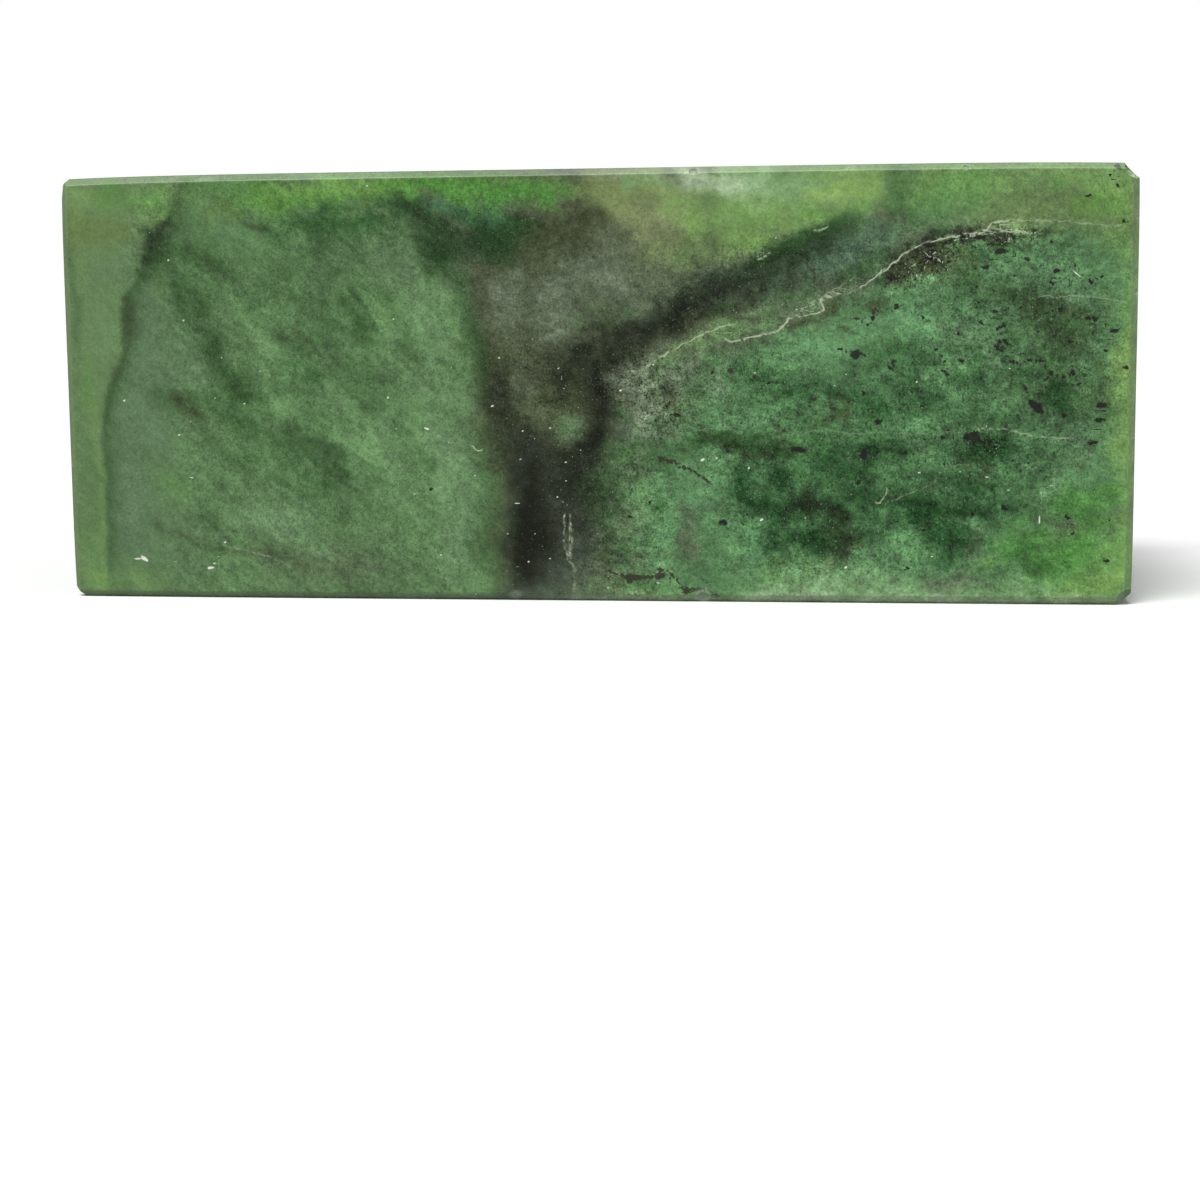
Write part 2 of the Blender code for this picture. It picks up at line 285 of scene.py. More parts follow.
    patchy("peat", 0.35, 0.62, 1.8, 1.8, (-43.6, 38.4, 0.5), (-42, 37.8, 0.5), (-39, 35.4, 0.7),
           (-37.4, 33.6, 0.8), (-35.8, 32.4, 0.5)),
    patchy("leafDeep", 0.85, 0.65, 1.8, 1.6, (-41, 33, 0.5), (-39.8, 31.8, 0.8), (-38.6, 31, 0.5)),
    patchy("mossDark", 0.8, 0.65, 2.6, 2, (-33.6, 31, 0.8), (-32, 30, 0.8), (-34.6, 27, 0.6),
           (-32, 26.6, 1), (-29.6, 26.6, 0.5)),
    patchy("mossDark", 0.6, 0.6, 1.8, 1.8, (-25, 37, 0.6), (-25, 34.4, 0.8), (-26, 32, 0.6)),
    soft("mossDark", 0.5, 0.8, (-20.8, 33.8, 0.2), (-19.6, 33, 0.2), (-18.8, 31.4, 0.2)),
    patchy("mossDark", 0.85, 0.7, 2.6, 1.6, (-26.6, 24, 0.5), (-25.4, 22.6, 0.8), (-24, 20, 0.6),
           (-23, 18.6, 0.4)),
    soft("mossDark", 0.5, 1.6, (-35.6, 13, 0.5), (-34, 12.2, 0.6)),
    soft("mossDark", 0.35, 1.4, (-30, 12, 0.3), (-26, 11.4, 0.4)),
    soft("mossDark", 0.35, 1.6, (-27, 9, 0.5), (-24, 7.6, 0.6)),
    soft("mossDark", 0.45, 1.6, (-17, 8.4, 0.5), (-16.2, 6.6, 0.6)),
    soft("leafDeep", 0.4, 1.2, (-55.4, 12, 0.5), (-54, 10.6, 0.5)),
    # painted shade: a taupe band along the top of a shadow on the lower left edge
    soft("taupe", 0.65, 2.6, (-47, 5, 0.8), (-42, 4.6, 1.4), (-37, 5, 1.6), (-33, 5, 1.6), (-29, 5, 0.8)),
    soft("peat", 0.35, 1, (-62.4, 10.8, 0.3), (-60, 9.4, 0.3), (-57, 8, 0.4), (-55.4, 7.2, 0.5),
         (-52, 6.8, 0.2), (-47, 6.2, 0.3), (-44, 5, 0.3), (-42.4, 4, 0.3)),
    soft("reed", 0.7, 2.2, (-69.4, 2, 0.8), (-65, 2, 1.4), (-60, 1.2, 0.8)),
    soft("mossDeep", 0.42, 1.8, (-57.6, 50, 0.4), (-55, 48.6, 0.8), (-52, 47, 0.6)),
    soft("mossDeep", 0.4, 2.2, (-58.6, 43.6, 0.8), (-55.4, 41.6, 1), (-55.4, 38, 0.8), (-53.4, 34.4, 1)),
    soft("mossDeep", 0.6, 1.8, (-51.2, 31.6, 0.5), (-49.4, 29.6, 1.1)),
    soft("mossDeep", 0.4, 2, (-46, 22.6, 0.8), (-41, 23.4, 1), (-38.4, 22, 1)),
    soft("mossDeep", 0.4, 2, (-38, 19, 1), (-36.6, 17.6, 0.8)),
    soft("mossDeep", 0.4, 1.8, (-33, 42.4, 0.7), (-32.6, 39.6, 0.8)),
    soft("leafDeep", 0.35, 1.8, (-41.6, 50.4, 0.6), (-40, 52.8, 1.2), (-37.4, 53, 1)),
    soft("mossDark", 0.4, 3, (-42, 47, 1), (-38, 44, 1.4), (-38, 40, 1)),
    soft("mint", 0.1, 8, (-46, 34, 5), (-34, 26, 8), (-24, 20, 6)),
    # under the upper edge, left: the leaf and lime along the edge are painted light through the thin edge
    soft("leaf", 0.8, 2, (-46.6, 57.8, 0.8), (-42, 57.2, 1.6), (-37, 57.6, 1.6), (-31, 57.8, 1.2),
         (-27, 58, 0.8)),
    soft("lime", 0.35, 1.6, (-45, 58.6, 0.4), (-40, 58.6, 0.8), (-32, 58, 0.8), (-29.6, 56.6, 0.6)),
    soft("leaf", 0.5, 2, (-45.6, 54.6, 0.6), (-42.4, 54.8, 0.8)),
    soft("olive", 0.5, 1.6, (-53.6, 55, 0.4), (-49.4, 54.6, 0.5)),
    patchy("leafDeep", 0.85, 0.72, 2.6, 2.2, (-42.4, 50.6, 0.8), (-40, 52.6, 1.2), (-37, 53.4, 1.4),
           (-34, 53.6, 1.4), (-30.6, 53.6, 1.4), (-28, 54.6, 1)),
    patchy("mossDeep", 0.6, 0.6, 2.6, 2, (-41, 51.6, 0.8), (-38, 52, 1), (-36.6, 50.4, 0.8)),
    patchy("mossDark", 0.7, 0.6, 2.6, 2, (-40, 48.6, 0.8), (-35, 48.6, 1), (-31.6, 50.6, 0.8)),
    soft("mossDark", 0.6, 1.3, (-50.6, 54.2, 0.1), (-48, 53.2, 0.3), (-45.6, 52.3, 0.5),
         (-43.4, 51, 0.5)),
    soft("pitch", 0.5, 0.6, (-48.4, 53.2, 0.1), (-46.6, 52.5, 0.25), (-45.2, 52, 0.15)),
    # grey wedge in the middle
    soft("peat", 0.75, 4, (-13, 46, 1), (-11, 49, 2), (-7, 50, 2), (-3, 52, 1.6)),
    soft("peat", 0.75, 5, (-13, 34, 1.4), (-9, 31, 3), (-3, 29, 3.4), (1, 32, 2)),
    soft("peat", 0.55, 3.4, (-11, 27, 1), (-7, 26, 1.6), (-5, 24, 1), (-4, 28, 1.4)),
    soft("peat", 0.5, 2.4, (-6.6, 52, 0.8), (-7, 47, 1.2), (-7.6, 43.6, 0.6)),
    soft("peat", 0.5, 3, (-7, 52.6, 1.6), (-3, 53, 1.4)),
    patchy("bottle", 0.8, 0.7, 4, 3, (-19, 48.6, 1.4), (-15, 49.6, 2), (-11, 49.6, 1.4)),
    # painted light along the upper edge
    soft("leaf", 0.9, 2.4, (-24.6, 58.4, 0.6), (-21, 58, 0.8), (-17, 58, 0.8)),
    soft("bottle", 0.75, 3, (-19, 50, 1.6), (-15, 49.6, 2), (-11.4, 50.4, 1.4)),
    soft("speckled", 0.85, 2.2, (-21.6, 55.4, 1), (-18, 55.4, 1.3), (-14.4, 54.8, 1.2), (-10.4, 52, 0.8)),
    soft("bottle", 0.9, 2.4, (-26.4, 55.4, 0.4), (-24, 54.8, 1.2), (-22.8, 53, 1.4), (-21.6, 50.8, 1.2),
         (-20.2, 47.6, 1)),
    patchy("bottle", 0.9, 0.75, 2.6, 2.2, (-21, 52.4, 1.2), (-16.4, 52, 1.8), (-12.6, 51.6, 1.4),
           (-8, 52.6, 0.8)),
    soft("leafDeep", 0.7, 1.8, (-20, 47.6, 0.8), (-19, 44.6, 0.8), (-17.8, 41, 0.7), (-16.6, 37.6, 0.6)),
    soft("mossDeep", 0.8, 2.2, (-16.6, 39, 0.4), (-15.6, 35, 0.8), (-15, 31.4, 1), (-14.4, 28, 0.8)),
    patchy("peat", 0.5, 0.75, 2.6, 2.2, (-16.2, 45, 0.8), (-15.2, 41, 0.8), (-14.6, 37, 0.8),
           (-13.4, 33.6, 1.4)),
    soft("ash", 0.7, 2.6, (-13, 43.4, 0.8), (-11, 41.6, 1.4), (-10.8, 38.6, 1.2)),
    patchy("ashPale", 0.75, 0.7, 2.6, 2.4, (-12.6, 42.6, 1), (-11, 40.4, 1.2), (-10, 44.6, 0.8)),
    patchy("ashPale", 0.85, 0.72, 2.6, 2.6, (-4.4, 42.6, 1), (-3, 40.4, 1.4), (-3.2, 38.2, 1.4),
           (-6, 37, 0.8)),
    patchy("ashPale", 0.75, 0.66, 2.6, 2.6, (2, 45, 1.2), (5.6, 44.4, 1.6), (8, 44.2, 0.8)),
    patchy("ashPale", 0.4, 0.6, 4, 3, (-1, 48, 1.6), (4, 48.4, 2), (-6, 44, 1.2)),
    soft("peat", 0.5, 1.8, (-8.2, 40, 0.5), (-7.8, 37.4, 0.5), (-8.4, 35, 0.4)),
    patchy("mossDark", 0.6, 0.65, 2.6, 2.2, (0.6, 39.4, 1), (4, 39.2, 1.4), (6.6, 40.4, 0.8)),
    patchy("pitch", 0.75, 0.7, 2.6, 2.4, (-4.4, 33.6, 1), (-1.6, 34.4, 1.2), (1.4, 35.2, 1.2),
           (4, 36.6, 0.8)),
    patchy("ash", 0.6, 0.66, 2.6, 2.2, (-9, 33.4, 1), (-7.4, 31, 1.6), (-1.6, 32, 0.8)),
    # black columns
    soft("peat", 0.75, 3.4, (-14.6, 29, 0.8), (-13.6, 24, 1.2), (-13, 18, 1), (-12.8, 11, 0.8),
         (-12.6, 4, 0.6)),
    soft("mossDark", 0.5, 2.6, (-15.6, 20, 0.6), (-15, 13, 0.6), (-14.4, 6, 0.6)),
    soft("pitch", 0.72, 3, (-12, 30.4, 1.2), (-11.4, 27, 1.8), (-10, 23.6, 2.4), (-9, 20, 2.6)),
    soft("coal", 0.92, 3.4, (-7.6, 20, 2.6), (-6.4, 16, 4.6), (-6, 11, 5), (-6.6, 6, 4.4), (-8, 3, 2)),
    soft("night", 0.9, 3, (-8.8, 17, 1), (-8.2, 13, 2), (-8, 9, 2.3), (-8.2, 5.4, 1.4)),
    soft("pitch", 0.8, 3, (-3, 19.4, 1), (-2, 17, 2), (-0.4, 15, 1.6)),
    soft("coal", 0.75, 3, (-1.6, 14, 1.4), (0, 12, 1.6), (-0.4, 8, 1)),
    soft("smoke", 0.88, 2.6, (-12, 0.4, 0.8), (-8, -0.6, 1.8), (-4.6, 1.4, 2), (-2, 4.6, 1.4),
         (-2, 8, 0.6)),
    soft("pitch", 0.88, 3, (-1, 17, 1.4), (0.2, 19.6, 2.2), (0.6, 23, 2.2), (0.6, 27, 2.4),
         (0.8, 31, 2.6), (3.4, 34, 2.2), (7, 36.4, 1.8)),
    soft("peat", 0.7, 3, (-6, 33, 1), (-3.4, 32, 2), (-3, 29, 1.4)),
    patchy("night", 0.7, 0.6, 1.8, 1.6, (-0.4, 17.2, 1), (0.6, 21.6, 1), (2.2, 31.6, 1), (4.6, 33.8, 1)),
    patchy("pitch", 0.7, 0.6, 1.8, 1.6, (-4, 30, 0.8), (-2, 33.4, 1), (0, 35, 0.8)),
    soft("mossDeep", 0.7, 3, (2.6, 17.6, 1), (2.6, 12, 1.2), (2, 6.6, 1)),
    patchy("mossDark", 0.75, 0.7, 2.6, 2.2, (4, 20.4, 0.9), (4.4, 13, 0.8), (4, 7, 0.8)),
    soft("taupe", 0.7, 1.8, (-3.2, 27, 0.5), (-2.8, 24.6, 1.2), (-3, 22.6, 0.8)),
    patchy("moss", 0.8, 0.7, 1.8, 1.4, (-3, 25.4, 0.9), (-2.6, 23.6, 0.9)),
    patchy("ash", 0.75, 0.6, 1.8, 1.8, (-8.6, 31, 1), (-7, 28.6, 1.2), (-5.6, 26, 0.8)),
    patchy("mossDark", 0.7, 0.65, 1.8, 1.8, (4.4, 24, 0.9), (4.4, 28, 0.9)),
    soft("moss", 0.6, 2, (-1, 1, 0.8), (2, 2, 1), (3.8, 3, 1), (5, 4, 0.6)),
    # under the upper edge, middle: the pale strokes along the edge, glow, mint and lime, are painted light
    soft("leaf", 0.8, 2, (-27, 58.4, 0.8), (-20, 58.8, 0.6), (-12, 57.6, 1.4), (-5, 57.4, 1.6),
         (-1, 57.2, 1)),
    soft("vivid", 0.7, 1.8, (-24.6, 58.8, 0.4), (-18, 58.6, 0.5), (-12.6, 57, 1.2), (-8, 57, 1.1),
         (-5, 56.6, 0.8)),
    soft("sand", 0.9, 3.6, (2, 58, 1), (4.6, 55, 2), (6.6, 52.8, 2.2), (10, 52, 1.8), (13, 54.4, 2),
         (10, 57, 1.6)),
    soft("ash", 0.5, 3, (3, 50, 1.4), (8, 47.6, 1.4)),
    patchy("peat", 0.8, 0.75, 2.6, 2, (-3.4, 53.6, 0.8), (-0.6, 53.6, 1.2), (1.8, 53, 0.9)),
    soft("olive", 0.55, 2.4, (1, 56.8, 0.6), (6, 56, 0.8), (12, 56.2, 0.6)),
    soft("grass", 0.8, 3, (14.4, 53, 0.9), (18.6, 53, 1.8), (23, 53, 1.8), (27, 54, 1.4), (31, 54, 1)),
    soft("olive", 0.35, 3, (10.6, 49.4, 1), (15, 48.8, 1.6), (19, 48.6, 1.2), (22, 50.4, 0.8)),
    soft("grass", 0.6, 2, (15, 51.8, 1), (19, 51, 1.4), (22, 51, 1)),
    soft("reed", 0.6, 2.4, (13, 47.8, 0.8), (17, 48, 1.4), (20, 48.6, 1)),
    soft("reed", 0.9, 1.8, (7, 57.8, 0.6), (11, 57.6, 0.9), (15, 57, 0.9), (18.4, 56.6, 0.7)),
    soft("grass", 0.7, 3, (13, 55.4, 0.8), (17, 55.6, 1.2), (22, 55.8, 1.2), (26, 55.6, 0.8)),
    soft("ochre", 0.4, 0.9, (6.6, 55.8, 0.1), (8.6, 56.8, 0.2), (11, 57, 0.25), (14, 56.9, 0.2),
         (17, 56.6, 0.1)),
    soft("paintedGlow", 0.3, 2.4, (4, 59, 0.3), (10, 58.8, 0.5), (16, 58.4, 0.8)),
    soft("paintedGlow", 0.8, 2.2, (15, 58.8, 0.2), (18.6, 58.2, 0.8), (21.6, 58, 1.2), (24, 57.8, 1)),
    soft("mint", 0.7, 2.4, (25, 57.6, 1.2), (29, 57.6, 1.2), (32, 57.4, 0.8)),
    soft("lime", 0.8, 2.2, (31.6, 56.6, 0.8), (35, 56.8, 1.2), (39, 57, 1.3)),
    soft("leaf", 0.5, 2, (30.6, 54.2, 0.4), (34, 53.8, 0.8), (38, 54.4, 0.6)),
    soft("mossDark", 0.6, 1.8, (43.6, 60, 0.8), (43.4, 56.6, 1), (42.6, 53.6, 0.9)),
    patchy("grass", 0.5, 0.6, 4, 2, (47, 57.4, 0.8), (50, 57.6, 0.8), (56, 57.6, 1)),
    soft("taupe", 0.5, 2.6, (56, 53, 0.6), (57, 54.4, 0.8), (61, 55.8, 1.5), (65, 55.4, 1.4),
         (69, 55.4, 0.7)),
    soft("olive", 0.2, 3, (56, 54, 1), (62, 54.6, 1.6), (68, 53.6, 1)),
    soft("vivid", 0.5, 1.4, (63.4, 57.4, 0.4), (65, 57, 0.5)),
    soft("grass", 0.65, 2, (66, 58, 0.7), (69, 57.6, 0.9), (72, 56.8, 1)),
    soft("leaf", 0.55, 2, (67.6, 53.6, 0.8), (70.6, 54, 0.8)),
    # painted light at the top right corner
    soft("lime", 0.5, 1.4, (71.4, 56.6, 0.4), (72.4, 56.2, 0.4)),
    soft("grass", 0.5, 1.8, (72, 50.6, 0.8), (72.6, 48.6, 0.6)),
    soft("paintedGlow", 0.07, 3, (8, 55, 2), (36, 55, 3)),
    # dark band above the vein
    soft("taupe", 0.5, 3, (10, 45.4, 0.8), (14, 46.4, 1), (18, 47.4, 0.8)),
    soft("grass", 0.8, 1.8, (24, 50.4, 0.8), (28, 52, 0.8), (33, 53.6, 0.6)),
    soft("slate", 0.95, 2.4, (9, 38.4, 1), (13, 40.4, 1.4), (17, 42, 2), (21, 44, 2), (25, 45.6, 2.2),
         (29, 47.2, 2), (33, 48.8, 1.6)),
    soft("slate", 0.92, 1, (10, 39.6, 0.6), (13, 41.4, 1.2), (17, 43, 1.3), (20, 44.3, 1.2),
         (23, 45.8, 1.4), (26, 47, 1.6), (30, 49, 1.6), (34, 50.4, 1.5), (37, 51.4, 1)),
    soft("coal", 0.8, 2.2, (6, 35.6, 1.2), (10, 38.4, 1.6), (14, 40.2, 1.8), (18, 42, 1.5),
         (22, 44.4, 1)),
    soft("night", 0.5, 2, (9, 37.8, 0.6), (13, 40, 1), (16.4, 41.6, 0.8), (20, 44, 0.5)),
    soft("peat", 0.6, 1.6, (7.4, 34.4, 0.6), (10, 36.2, 0.8), (14, 37.8, 0.8), (18, 39.6, 1),
         (21, 40.8, 0.8)),
    patchy("slateLight", 0.45, 0.7, 1.8, 1.6, (19.6, 42.2, 0.8), (24, 43.4, 1.1), (27, 44.4, 0.9)),
    soft("olive", 0.2, 2.6, (9, 46.6, 1), (14, 48, 1), (18, 49.4, 0.8)),
    soft("bottle", 0.8, 1, (22, 46.6, 0.3), (26, 48.4, 0.6), (30, 50.2, 0.7), (35, 52, 0.6)),
    patchy("leafDeep", 0.7, 0.75, 1.8, 1, (24, 48.4, 0.4), (28, 50.2, 0.5), (32, 51.6, 0.5),
           (36, 52.8, 0.5)),
    soft("slateLight", 0.85, 2.6, (31, 45.4, 0.6), (34, 46.8, 1.2), (37, 48.2, 1.4), (40, 49.4, 1.6),
         (42, 49, 1.4), (39, 46.8, 0.8)),
    soft("emerald", 0.6, 2, (43, 50.4, 0.8), (46, 51.6, 0.9), (50, 52.6, 0.7)),
    patchy("mossDark", 0.7, 0.7, 2.6, 1.6, (18, 40, 0.6), (23, 40.8, 0.7), (27, 42, 1), (31, 43.4, 0.9)),
    soft("moss", 0.6, 1.8, (22.6, 39.6, 0.5), (25, 40.6, 0.8), (28, 41.4, 0.8), (31, 42.6, 0.5)),
    soft("leafDeep", 0.65, 1.6, (35.6, 45, 0.5), (38, 45.4, 0.8), (41, 47, 0.6)),
    patchy("mossDark", 0.75, 0.65, 2.6, 2, (37, 52.6, 0.9), (40.6, 53.2, 1.1), (44, 53, 0.9)),
    # along the veins
    patchy("ashPale", 0.6, 0.6, 1.8, 1.6, (4, 31.6, 0.8), (7, 32.6, 1.3), (9, 34, 0.9), (11, 36, 0.5)),
    soft("grass", 0.3, 1, (10, 33, 0.4), (13, 34.8, 0.5), (17, 36.4, 0.6), (21, 37.6, 0.6)),
    patchy("mossLight", 0.8, 0.7, 1.8, 1.2, (11, 33.8, 0.5), (14, 35.2, 0.7), (18, 36.8, 0.9),
           (22, 38, 0.8), (26, 39, 0.7)),
    soft("leafDeep", 0.3, 1.4, (8.6, 31.4, 0.5), (10.6, 32.8, 0.5), (14, 33.8, 0.5), (17.4, 34.4, 0.4)),
    soft("pitch", 0.5, 1.3, (4.4, 32.4, 0.5), (7.4, 35.2, 0.8), (11.2, 37.7, 0.7), (15, 39.3, 0.5),
         (20, 40.6, 0.3)),
    patchy("peat", 0.9, 0.72, 1.8, 1.4, (28, 38, 0.4), (30.6, 38.2, 0.7), (33, 39.4, 0.7),
           (34.6, 41.6, 0.6), (38, 41.8, 0.7), (40.6, 41.4, 0.6)),
    patchy("peat", 0.6, 0.55, 1.8, 1.4, (30, 36.8, 0.6), (33, 37.2, 0.7), (36, 38.4, 0.8)),
    patchy("emeraldMid", 0.9, 0.8, 2.6, 1.8, (42.6, 45, 1), (46, 46.6, 1.6), (51, 47.6, 1.6),
           (56, 48.6, 1.2)),
    patchy("peat", 0.9, 0.62, 1.8, 1.5, (43, 45.4, 0.8), (45.4, 46.2, 1.2), (48, 47.4, 1),
           (47, 44.4, 0.9)),
    patchy("peat", 0.8, 0.8, 1.8, 1.8, (43, 44.6, 0.8), (46, 45.4, 1.4), (50, 46.6, 1.3), (53, 47.4, 1)),
    patchy("pitch", 0.9, 0.75, 1.8, 1.3, (42.6, 46, 0.5), (45.6, 47.4, 1.1), (48.4, 48.5, 0.8),
           (51, 49.4, 0.6)),
    patchy("night", 0.9, 0.75, 1.8, 0.8, (46.6, 48.9, 0.3), (50, 49.7, 0.3), (54, 50.4, 0.5),
           (57, 50.2, 0.5), (60.4, 50.3, 0.5)),
    patchy("mossDeep", 0.8, 0.7, 1.8, 1.2, (56, 48.6, 0.5), (58, 48.2, 0.6), (61, 49.4, 0.5),
           (65, 48.9, 0.6)),
    patchy("peat", 0.8, 0.62, 1.8, 1.4, (48, 48.6, 0.5), (53, 49.2, 0.8), (57.6, 49.2, 0.8),
           (61, 49.8, 0.6), (64.6, 49.2, 0.5)),
    # right half, above the level line
    patchy("emeraldLight", 0.5, 0.6, 4, 3, (28, 34.6, 1.4), (33, 35.4, 2), (40, 37.4, 2), (46, 39, 2)),
    patchy("emeraldLight", 0.4, 0.6, 2.6, 2.2, (55, 45.4, 1.4), (60, 45.2, 1.4), (64, 44.4, 1)),
    patchy("mossDark", 0.88, 0.76, 2.6, 2, (51.6, 46.4, 0.8), (52.6, 43.6, 0.9), (56, 42.4, 0.8),
           (62, 42.2, 0.8)),
    patchy("mossDeep", 0.78, 0.72, 1.8, 1.2, (56, 42.2, 0.4), (60, 42, 0.5), (64, 41.6, 0.5)),
    patchy("peat", 0.83, 0.76, 2.6, 2, (60, 40.6, 0.6), (64, 40.4, 1.2), (67, 40.2, 1), (65.6, 37, 1.2),
           (66.6, 35.6, 0.9)),
    patchy("mossDark", 0.93, 0.8, 4, 3, (60, 39, 1), (63, 37.6, 2), (67, 37, 1.8), (64, 34, 1.6),
           (68, 32.4, 1.2)),
    patchy("celadon", 0.5, 0.55, 1.8, 2.2, (49, 38, 1), (52, 37, 1.2), (55, 34.6, 1.2), (57, 32.6, 1)),
    patchy("leafDeep", 0.68, 0.7, 2.6, 2, (57.4, 35.6, 1), (60.4, 35.4, 0.9), (63, 34, 0.8)),
    patchy("emeraldMid", 0.85, 0.6, 2.6, 3, (40, 34.6, 1.6), (46, 33.4, 2), (52, 32.6, 2), (60, 31.6, 2)),
    patchy("emeraldMid", 0.85, 0.6, 2.6, 2.6, (20, 31.4, 1), (26, 30.4, 1.6), (33, 29.6, 2),
           (38, 28.6, 2), (44, 28.6, 2)),
    patchy("emeraldDark", 0.68, 0.6, 1.8, 2, (22, 31.6, 0.6), (31, 28.4, 0.9), (37, 28.6, 1),
           (42, 28, 0.8), (50, 28.6, 0.8)),
    patchy("peat", 0.63, 0.65, 1.8, 1.6, (33.4, 27.4, 0.9), (35.6, 27, 0.9), (27.6, 24.4, 0.6)),
    patchy("mossDark", 0.93, 0.78, 2.6, 2.2, (58, 29, 0.9), (60.6, 28, 1.2), (64.4, 29.2, 1.5),
           (66, 27.4, 1)),
    patchy("emeraldDark", 0.98, 0.82, 1.8, 1.6, (63, 28.6, 0.8), (64.6, 29.6, 0.9), (64, 27, 0.7)),
    patchy("mossDark", 0.63, 0.7, 2.6, 2, (68, 30.4, 1), (70.6, 28, 1), (69.6, 25.4, 1)),
    # speckled patch beside the black band
    soft("beige", 0.85, 3, (6.4, 22, 1), (8, 26, 2), (10, 30, 1.8), (14, 32, 1.2), (17, 30.6, 1)),
    patchy("ashPale", 0.55, 0.6, 1.8, 1.8, (6, 31.6, 1), (8.6, 27, 1.4), (7, 24, 1)),
    patchy("mossDark", 0.68, 0.7, 2.6, 2, (6, 22, 1), (12, 24.6, 1.2), (14, 29.6, 1.2), (17, 32.6, 0.8)),
    patchy("peat", 0.83, 0.72, 1.8, 1.4, (10.8, 30, 0.6), (12.4, 26, 0.9), (11.6, 28.4, 0.5)),
    patchy("emerald", 0.8, 0.7, 2.6, 2, (16, 26, 1.2), (20, 26, 1.6), (23, 26.6, 1.2)),
    patchy("mossDark", 0.83, 0.78, 2.6, 2, (5, 21, 0.8), (9, 21.4, 0.9), (12, 21.8, 0.8),
           (14.6, 22.4, 0.8)),
    # right half, below the level line
    patchy("mossLight", 0.5, 0.6, 4, 2.6, (7.4, 17, 1), (8.4, 12, 1.8), (7.4, 7.4, 1.6), (10.6, 5.6, 1)),
    patchy("mossDark", 0.6, 0.5, 1.8, 3, (7, 19, 1), (11, 15, 2), (12.6, 5.6, 1), (17, 9, 1.6)),
    patchy("emeraldLight", 0.35, 0.6, 4, 2.6, (17.6, 13, 1), (17.4, 17, 1), (19, 7.6, 1)),
    soft("leafDeep", 0.6, 0.7, (6.8, 17.3, 0.4)),
    soft("leafDeep", 0.7, 0.8, (10.6, 14, 0.5)),
    soft("leafDeep", 0.4, 0.9, (5.6, 15, 0.3)),
    patchy("taupe", 0.85, 0.75, 2.6, 1.4, (14, 13, 0.7), (14.4, 11, 1), (14.2, 8.6, 1.1), (13.4, 7, 0.7)),
    patchy("peat", 0.58, 0.7, 1.8, 1.2, (14.2, 11.4, 0.7), (14.4, 9.4, 0.8)),
    soft("mossDark", 0.5, 1.3, (13, 6, 0.4), (16, 5, 0.4), (20, 5.2, 0.5), (22, 5, 0.3)),
    patchy("leafDeep", 0.95, 0.85, 1.8, 1.3, (15, 22.2, 0.4), (18.6, 22.2, 0.8), (22, 22.2, 0.6),
           (26, 21.8, 0.6), (30, 21.6, 0.7), (33, 22.2, 0.4)),
    patchy("pitch", 0.7, 0.75, 1.8, 1, (15.6, 22.8, 0.4), (19.4, 21.2, 0.4), (29, 21.6, 0.8)),
    soft("taupe", 0.75, 1, (14, 13.6, 0.5), (14.3, 11, 1.1), (14.2, 8.4, 1.3), (14.8, 6.2, 0.9)),
    soft("leafDeep", 0.6, 0.8, (6.9, 16.2, 0.3)),
    soft("leafDeep", 0.7, 0.9, (10.7, 13.6, 0.5)),
    patchy("emeraldDark", 1, 0.85, 2.6, 1.6, (21.4, 18.8, 0.9), (21.6, 17.6, 0.9), (21, 16.6, 0.4)),
    patchy("emeraldDark", 1, 0.85, 1.8, 1.5, (22, 15.2, 0.6), (23.8, 14.6, 0.8), (26.2, 14.6, 0.9)),
    patchy("emeraldDark", 0.98, 0.8, 1.8, 1.5, (26.6, 18.2, 0.8), (27.4, 17.6, 0.5)),
    patchy("emeraldDark", 0.93, 0.76, 2.6, 2, (25.4, 11, 0.7), (26.8, 10, 0.9), (26.6, 8.4, 0.4)),
    patchy("emeraldDark", 1, 0.9, 2.6, 2, (29.6, 10, 0.9), (31, 9, 1.1), (32.6, 8.2, 0.9)),
    patchy("pitch", 0.98, 0.85, 1.8, 1.7, (29, 14.2, 0.8), (31, 14.6, 1.1), (32.4, 13.6, 0.9)),
    patchy("emeraldDark", 1, 0.85, 4, 2.4, (28, 13.6, 1), (32, 14, 1.6), (35, 13.2, 1.4),
           (36.4, 10.4, 1.4), (35.6, 8, 1.2)),
    patchy("pitch", 0.68, 0.72, 1.8, 1.8, (34.4, 12.6, 0.9), (36, 9.6, 1), (36.6, 6.6, 1)),
    patchy("emeraldDark", 0.88, 0.76, 2.6, 2, (32.6, 19.6, 0.8), (35, 20.4, 0.9), (36, 18.4, 0.8),
           (38.6, 18.6, 0.6)),
    patchy("emeraldDark", 0.88, 0.76, 1.8, 1.6, (38, 15.6, 0.9), (40, 15, 1), (40, 12.6, 0.9)),
    patchy("emeraldDark", 0.88, 0.76, 1.8, 1.6, (35.6, 21.8, 0.6), (38.6, 21.6, 0.7), (41.6, 22, 0.7),
           (44.4, 21, 0.4)),
    patchy("emeraldLight", 0.4, 0.62, 2.6, 2, (22, 7.6, 1.1), (25.4, 6.6, 1.1), (23.6, 11, 0.8)),
    patchy("mossDark", 0.88, 0.76, 2.6, 1.8, (28, 6.2, 0.6), (32, 6.2, 0.8), (36, 4.8, 0.5)),
    patchy("leaf", 0.5, 0.62, 1.8, 1.6, (26.4, 3, 0.6), (29, 3.2, 0.8), (31, 3.4, 0.5)),
    patchy("emeraldDark", 1, 0.82, 1.8, 1.8, (42, 13.6, 0.7), (44.6, 13.8, 0.9), (47.6, 14, 1),
           (50.6, 13.2, 0.7), (53, 13.2, 0.8)),
    patchy("emeraldDark", 0.93, 0.8, 1.8, 1.4, (53, 12.6, 0.6), (57, 13.2, 0.6), (59, 13.4, 0.5)),
    patchy("emeraldDark", 0.93, 0.8, 2.6, 1.8, (48.6, 10, 0.8), (50.4, 9.2, 1.1), (53, 9, 0.8),
           (49.6, 7.4, 0.7)),
